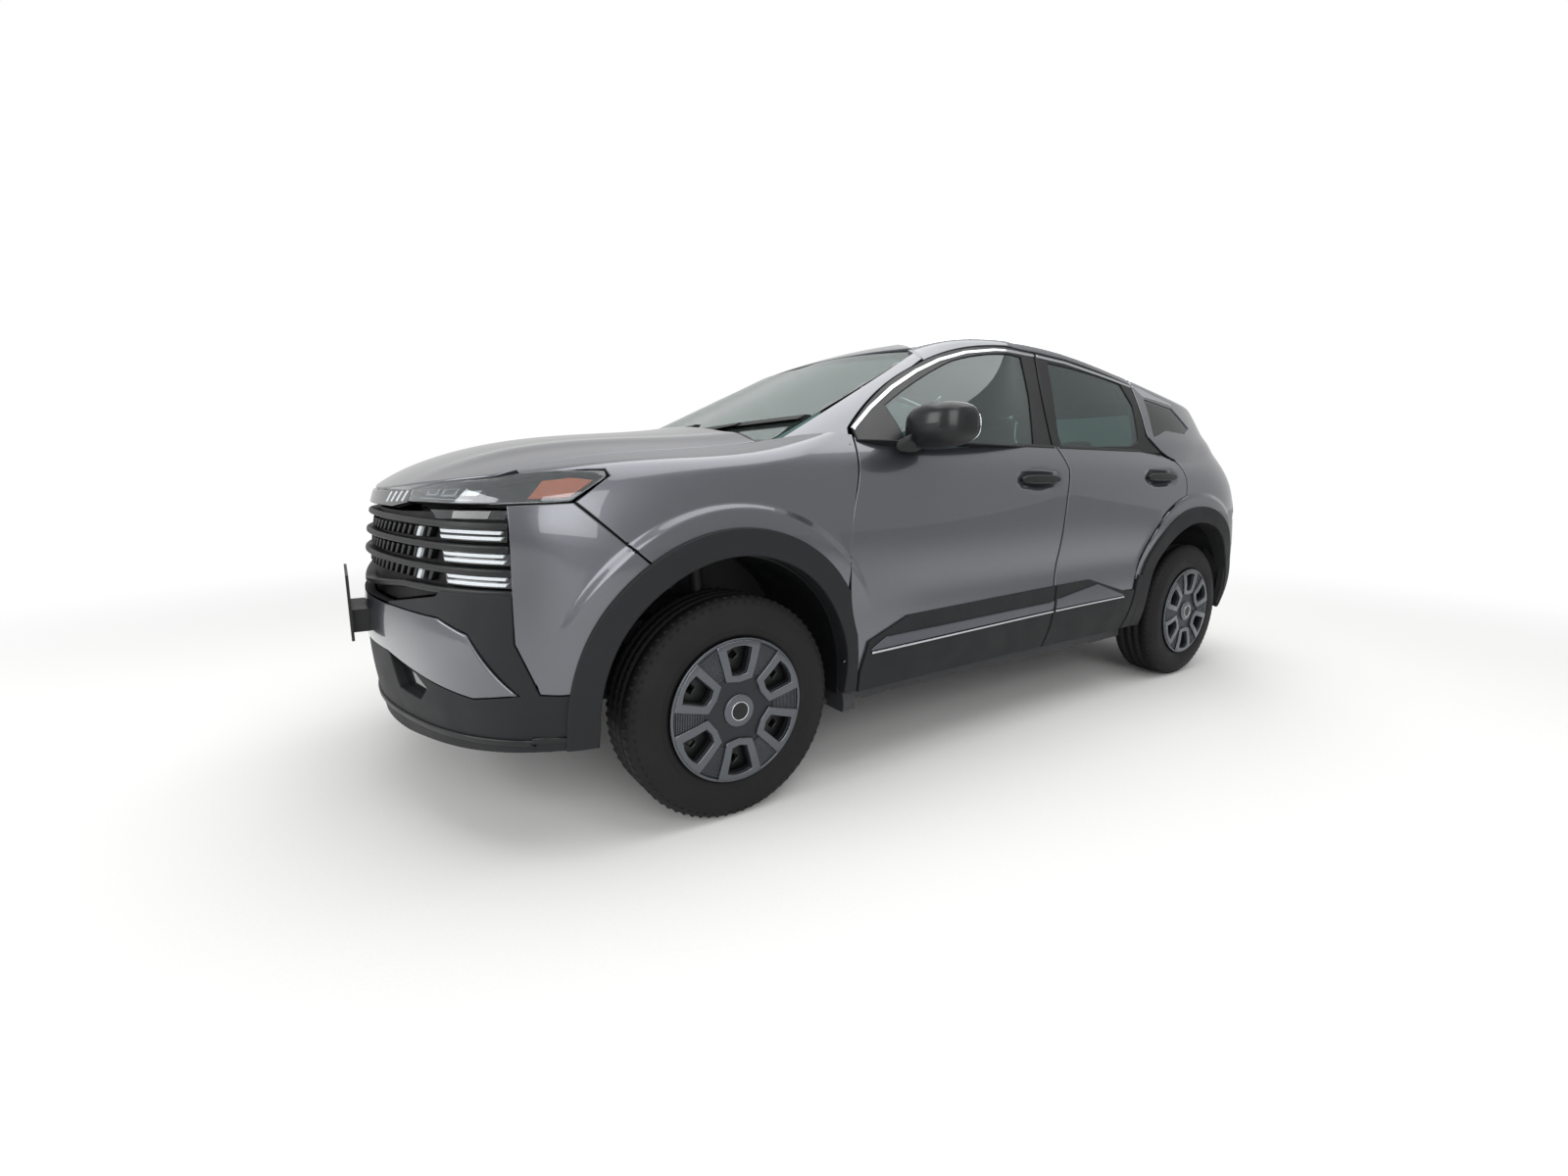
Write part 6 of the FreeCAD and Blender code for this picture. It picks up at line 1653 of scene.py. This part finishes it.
def instanced(block: Sheet, count: int, name: str, finish: Finish) -> Sheet:
    """Repeat a block round the wheel's axis with a node tree of named inputs.

    Args:
        block: The block at the top of the wheel, about the axis, in metres.
        count: Number of copies.
        name: Name of the tree.
        finish: Finish of the copies.

    Returns:
        The realised mesh data at the right front wheel.
    """
    mesh = bpy.data.meshes.new(name)
    mesh.from_pydata(block.verts, [], block.faces)
    holder = added(name, mesh)
    tree = bpy.data.node_groups.new(name, "GeometryNodeTree")
    tree.interface.new_socket("Geometry", in_out="INPUT", socket_type="NodeSocketGeometry")
    pitches = tree.interface.new_socket("Pitches", in_out="INPUT", socket_type="NodeSocketInt")
    tree.interface.new_socket("Geometry", in_out="OUTPUT", socket_type="NodeSocketGeometry")
    source = add_node(tree, "NodeGroupInput")
    points = add_node(tree, "GeometryNodePoints", Count=source.outputs["Pitches"])
    share = add_node(tree, "ShaderNodeMath", operation="DIVIDE")
    tree.links.new(add_node(tree, "GeometryNodeInputIndex").outputs[0], share.inputs[0])
    tree.links.new(source.outputs["Pitches"], share.inputs[1])
    turn = add_node(tree, "ShaderNodeMath", operation="MULTIPLY")
    turn.inputs[1].default_value = 2 * math.pi
    tree.links.new(share.outputs[0], turn.inputs[0])
    angles = add_node(tree, "ShaderNodeCombineXYZ", Y=turn.outputs[0])
    copies = add_node(tree, "GeometryNodeInstanceOnPoints", Points=points.outputs[0],
                      Instance=source.outputs["Geometry"], Rotation=angles.outputs[0])
    real = add_node(tree, "GeometryNodeRealizeInstances", Geometry=copies.outputs[0])
    dressed = add_node(tree, "GeometryNodeSetMaterial", Geometry=real.outputs[0], Material=finish.build())
    tree.links.new(dressed.outputs[0], add_node(tree, "NodeGroupOutput").inputs[0])
    mod = holder.modifiers.new(name, "NODES")
    mod.node_group = tree
    mod[pitches.identifier] = count
    bake(holder)
    made = holder.data
    shift = Vector((SETBACK / 1000, TRACK_HALF / 1000, AXLE_Z / 1000))
    out = Sheet([tuple(v.co + shift) for v in made.vertices], [], [tuple(p.vertices) for p in made.polygons],
                [0] * len(made.polygons))
    bpy.data.objects.remove(holder)
    return out


@dataclass
class Studio:
    """Floor, lights, world and the photograph's camera."""

    place: tuple[float, float, float] = (-2.2101, -2.4722, 1.0211)
    turn: tuple[float, float, float] = (-0.17003805, 0.04436262, -0.59336232)
    focal: float = 671.44 / 1600 * 36

    def camera(self) -> None:
        """The camera as it stood for the photograph, for a 1600 by 1200 frame."""
        axis = Vector(self.turn)
        spin = Matrix.Rotation(axis.length, 3, axis.normalized())
        base = Matrix(((1, 0, 0), (0, 0, -1), (0, 1, 0)))
        world_to_cam = base @ spin.transposed()
        data = bpy.data.cameras.new("photo_camera")
        data.lens, data.sensor_width = self.focal, 36.0
        data.clip_start, data.clip_end = 0.05, 200
        cam = added("photo_camera", data)
        cam.matrix_world = Matrix.Translation(self.place) @ (
            world_to_cam.transposed() @ Matrix.Diagonal((1, -1, -1))).to_4x4()
        bpy.context.scene.camera = cam

    def light(self) -> None:
        """Soft overhead and side lamps, and a pale world that shows white behind the car."""
        for name, spot, aim, size, power in (
                ("top_softbox", (0.3, -0.5, 6.0), (0, 0, 0.5), 7.0, 330),
                ("left_softbox", (-3.5, -7.0, 3.6), (0, 0, 0.7), 5.0, 250),
                ("front_softbox", (-7.5, 0.5, 3.0), (-1.5, 0, 0.7), 4.0, 200),
                ("rear_softbox", (6.5, 4.0, 4.0), (0.5, 0, 0.8), 4.0, 160)):
            data = bpy.data.lights.new(name, "AREA")
            data.shape, data.size, data.energy = "SQUARE", size, power
            lamp = added(name, data)
            lamp.location = spot
            lamp.rotation_mode = "QUATERNION"
            lamp.rotation_quaternion = (Vector(aim) - Vector(spot)).to_track_quat("-Z", "Y")
        world = bpy.data.worlds.new("studio_world")
        world.use_nodes = True
        tree = world.node_tree
        tree.nodes.clear()
        path = add_node(tree, "ShaderNodeLightPath")
        either = add_node(tree, "ShaderNodeMath", operation="MAXIMUM")
        tree.links.new(path.outputs["Is Camera Ray"], either.inputs[0])
        tree.links.new(path.outputs["Is Transmission Ray"], either.inputs[1])
        glossy = add_node(tree, "ShaderNodeMath", operation="MULTIPLY_ADD")
        tree.links.new(path.outputs["Is Glossy Ray"], glossy.inputs[0])
        glossy.inputs[1].default_value = 0.35
        tree.links.new(either.outputs[0], glossy.inputs[2])
        power = add_node(tree, "ShaderNodeMapRange", Value=glossy.outputs[0], To_Min=0.42, To_Max=1.0)
        back = add_node(tree, "ShaderNodeBackground", Color=(1, 1, 1, 1), Strength=power.outputs["Result"])
        add_node(tree, "ShaderNodeOutputWorld", Surface=back.outputs[0])
        bpy.context.scene.world = world

    def floor(self) -> None:
        """A pale floor under the tyres."""
        mesh = bpy.data.meshes.new("studio_floor")
        r = 40.0
        mesh.from_pydata([(-r, -r, 0), (r, -r, 0), (r, r, 0), (-r, r, 0)], [], [(0, 1, 2, 3)])
        floor = added("studio_floor", mesh)
        mat = Finish("pale_studio_floor", "#e9e9e8", "#e5e5e4", 0.8, grain_mm=8, specular=0.2).build()
        tree = mat.node_tree
        place = add_node(tree, "ShaderNodeTexCoord").outputs["Object"]
        far = add_node(tree, "ShaderNodeVectorMath", operation="LENGTH")
        tree.links.new(place, far.inputs[0])
        fade = add_node(tree, "ShaderNodeMapRange", interpolation_type="SMOOTHSTEP", Value=far.outputs["Value"],
                        From_Min=2.6, From_Max=6.5)
        seen = add_node(tree, "ShaderNodeMath", operation="MULTIPLY")
        tree.links.new(fade.outputs["Result"], seen.inputs[0])
        tree.links.new(add_node(tree, "ShaderNodeLightPath").outputs["Is Camera Ray"], seen.inputs[1])
        white = add_node(tree, "ShaderNodeEmission", Strength=1.0)
        sink = next(n for n in tree.nodes if n.type == "OUTPUT_MATERIAL")
        both = add_node(tree, "ShaderNodeMixShader", Fac=seen.outputs[0])
        tree.links.new(sink.inputs["Surface"].links[0].from_socket, both.inputs[1])
        tree.links.new(white.outputs[0], both.inputs[2])
        tree.links.new(both.outputs[0], sink.inputs["Surface"])
        mesh.materials.append(mat)


@dataclass(frozen=True)
class Pad:
    """One padded part of a seat: side outline in (x, z), reach across, sewn channels and seam, and whether it
    stands upright.
    """

    name: str
    outline: tuple
    y0: float
    y1: float
    channels: tuple = ()
    seam: float = 0.0
    upright: bool = False


@dataclass
class Seats:
    """Padded seats: cushions, backs and head restraints that swell under cloth simulation."""

    voxel: float = 9.0
    pressure: float = 4.0
    frames: int = 20
    cap: float = 24.0

    def build(self) -> None:
        """Front seats and the rear bench, each left piece mirrored to the right."""
        front = (
            Pad("cushion", ((1076, 570), (1066, 600, "via"), (1084, 634), (1180, 640), (1400, 628), (1530, 612),
                            (1548, 560), (1500, 536), (1150, 540)), -600, -140, (1180, 1260, 1340, 1420), 150),
            Pad("back", ((1512, 600), (1560, 800), (1640, 1096), (1672, 1128, "via"), (1712, 1100), (1730, 1040),
                         (1660, 780), (1610, 590)), -596, -144, (720, 800, 880, 960), 150, True),
        )
        rear = (
            Pad("cushion", ((1956, 570), (1948, 600, "via"), (1966, 632), (2060, 640), (2280, 628), (2400, 612),
                            (2416, 560), (2370, 536), (2030, 540)), -462, -4, (2060, 2140, 2220, 2300), 150),
            Pad("back", ((2392, 600), (2440, 800), (2512, 1060), (2545, 1092, "via"), (2580, 1060), (2596, 1010),
                         (2540, 780), (2490, 590)), -462, -4, (720, 800, 880, 960), 150, True),
        )
        rest = ((1652, 1146), (1660, 1230), (1690, 1262, "via"), (1726, 1236), (1736, 1160), (1700, 1134))
        rear_rest = tuple((x + 872, z - 42, *more) for x, z, *more in rest)
        for row, pads, spots in (
                ("front", front + (Pad("head", rest, -496, -244, upright=True),), (1100, 1560, -590, -150)),
                ("rear", rear + (Pad("head", rear_rest, -360, -130, upright=True),), (1990, 2470, -462, -6))):
            sheets = [self.swollen(f"{row}_{pad.name}", pad) for pad in pads]
            base = self.plinth(*spots)
            for side in ("left", "right"):
                nodes = [f"front_seat_{side}"] if row == "front" else ["rear_seat"] * (side == "left")
                for pad, sheet in zip(pads, sheets):
                    data = sheet if side == "left" else sheet.mirrored()
                    piece = mesh_piece(f"{row}_{pad.name}_{side}", data, "body", (CLOTH,), Slot.SEAT,
                                       nodes if pad.name == "cushion" else [])
                data = base if side == "left" else base.mirrored()
                soft_piece(f"{row}_seat_base_{side}", data, "body", (TRIM,), Slot.TRIM, 1)

    def plinth(self, x0: float, x1: float, y0: float, y1: float) -> Sheet:
        """The plastic base under a cushion, narrower than it."""
        return loft_piece([ellipse(((x0 + x1) / 2, (y0 + y1) / 2, z), ((x1 - x0) / 2 - trim, 0, 0),
                                   (0, (y1 - y0) / 2 - trim, 0), 28, 0.35)
                           for z, trim in ((472, 40), (480, 24), (520, 14), (546, 12), (552, 20))])

    def swollen(self, name: str, pad: Pad) -> Sheet:
        """Loft a pad, swell it, and sew its channels.

        Args:
            name: Piece name.
            pad: Its outline and reach.

        Returns:
            The mesh data of the left-hand piece.
        """
        core = grow(densify(pad.outline, 24), -12)
        across_pad = ((0, 46), (6, 26), (20, 8), (46, 0))
        spots = [(pad.y0 + 12 + d, inset) for d, inset in across_pad]
        spots += [(pad.y1 - 12 - d, inset) for d, inset in reversed(across_pad)]
        rings = [np.array([(x, y, z) for x, z in grow(core, -inset * 0.6)]) for y, inset in spots]
        obj = soft_piece(name + "_core", loft_piece(rings), "body", (CLOTH,), Slot.SEAT, 0)
        remesh = obj.modifiers.new("voxels", "REMESH")
        remesh.mode, remesh.voxel_size = "VOXEL", self.voxel / 1000
        bake(obj)
        self.simulate(obj)
        subdivide(obj, 1)
        self.sew(obj, pad)
        mesh = obj.data
        sheet = Sheet([tuple(v.co) for v in mesh.vertices], [tuple(v.normal) for v in mesh.vertices],
                      [tuple(p.vertices) for p in mesh.polygons], [0] * len(mesh.polygons))
        bpy.data.objects.remove(obj)
        return sheet

    def simulate(self, obj: bpy.types.Object) -> None:
        """Swell the pad with the cloth solver and cap how far its points move."""
        before = np.array([tuple(v.co) for v in obj.data.vertices])
        cloth = obj.modifiers.new("swell", "CLOTH")
        cloth.settings.use_pressure = True
        cloth.settings.uniform_pressure_force = self.pressure
        cloth.settings.effector_weights.gravity = 0.0
        cloth.point_cache.frame_start, cloth.point_cache.frame_end = 1, self.frames
        for step in range(1, self.frames + 1):
            bpy.context.scene.frame_set(step)
        bake(obj)
        bpy.context.scene.frame_set(1)
        after = np.array([tuple(v.co) for v in obj.data.vertices])
        run = after - before
        far = np.linalg.norm(run, axis=1)[:, None] + 1e-9
        limited = before + run * np.minimum(1.0, self.cap / 1000 / far)
        obj.data.vertices.foreach_set("co", limited.ravel())
        obj.data.update()

    def sew(self, obj: bpy.types.Object, pad: Pad) -> None:
        """Press the side seams and the cross channels into the swollen pad, and raise its bolsters."""
        mesh = obj.data
        co = np.array([tuple(v.co) for v in mesh.vertices]) * 1000
        normals = np.array([tuple(v.normal) for v in mesh.vertices])
        off = np.abs(co[:, 1] - (pad.y0 + pad.y1) / 2)
        along = co[:, 2] if pad.upright else co[:, 0] - SETBACK
        face = np.clip(-normals[:, 0] if pad.upright else normals[:, 2], 0, 1)
        press = np.zeros(len(co))
        if pad.seam:
            press -= 7 * np.exp(-((off - pad.seam) / 5.5) ** 2) * face
            press += 9 * np.clip((off - pad.seam) / 40, 0, 1) * face
        for line in pad.channels:
            press -= 5 * np.exp(-((along - line) / 5.5) ** 2) * face * (off < pad.seam)
        co += normals * press[:, None]
        mesh.vertices.foreach_set("co", (co / 1000).ravel())
        mesh.update()


NODE_FINISH = {
    "centre_console": TRIM, "cowl": SATIN, "dashboard": TRIM, "engine_block": CAST, "exhaust": ALLOY,
    "floor_pan": CHASSIS, "front_plate": SATIN, "front_structure": CHASSIS, "front_suspension": CAST,
    "fuel_tank": SATIN, "knuckle_left": CAST, "knuckle_right": CAST, "radiator": ALLOY, "rear_axle": CHASSIS,
    "rear_wiper": SATIN, "steering_wheel": SATIN, "wheel_houses": SATIN, "wipers": SATIN,
}


def dress_nodes() -> None:
    """Give the remaining CAD nodes their real materials."""
    for name, finish in NODE_FINISH.items():
        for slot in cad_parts[name].material_slots:
            slot.material = finish.build()
        LOG.info("%s: %s", name, finish.name)


def main() -> None:
    """Build every sub-assembly in order, then the studio."""
    logging.basicConfig(level=logging.INFO, format="%(name)s %(message)s")
    skins = Surfaces()
    front, nose, shell, studio = FrontBody(skins), Nose(skins), Shell(skins), Studio()
    for step in (front.hood, front.fenders, nose.bumper, nose.grille, nose.headlamps, Doors(skins).build,
                 Mirrors().build, shell.pillars, shell.quarters, shell.roof, shell.screen, shell.gate,
                 shell.rear_end, shell.arches, Wheels().build, Seats().build, dress_nodes, studio.floor,
                 studio.light, studio.camera):
        step()
    view = bpy.context.scene.view_settings
    view.view_transform = "Standard"


if __name__ == "__main__":
    main()
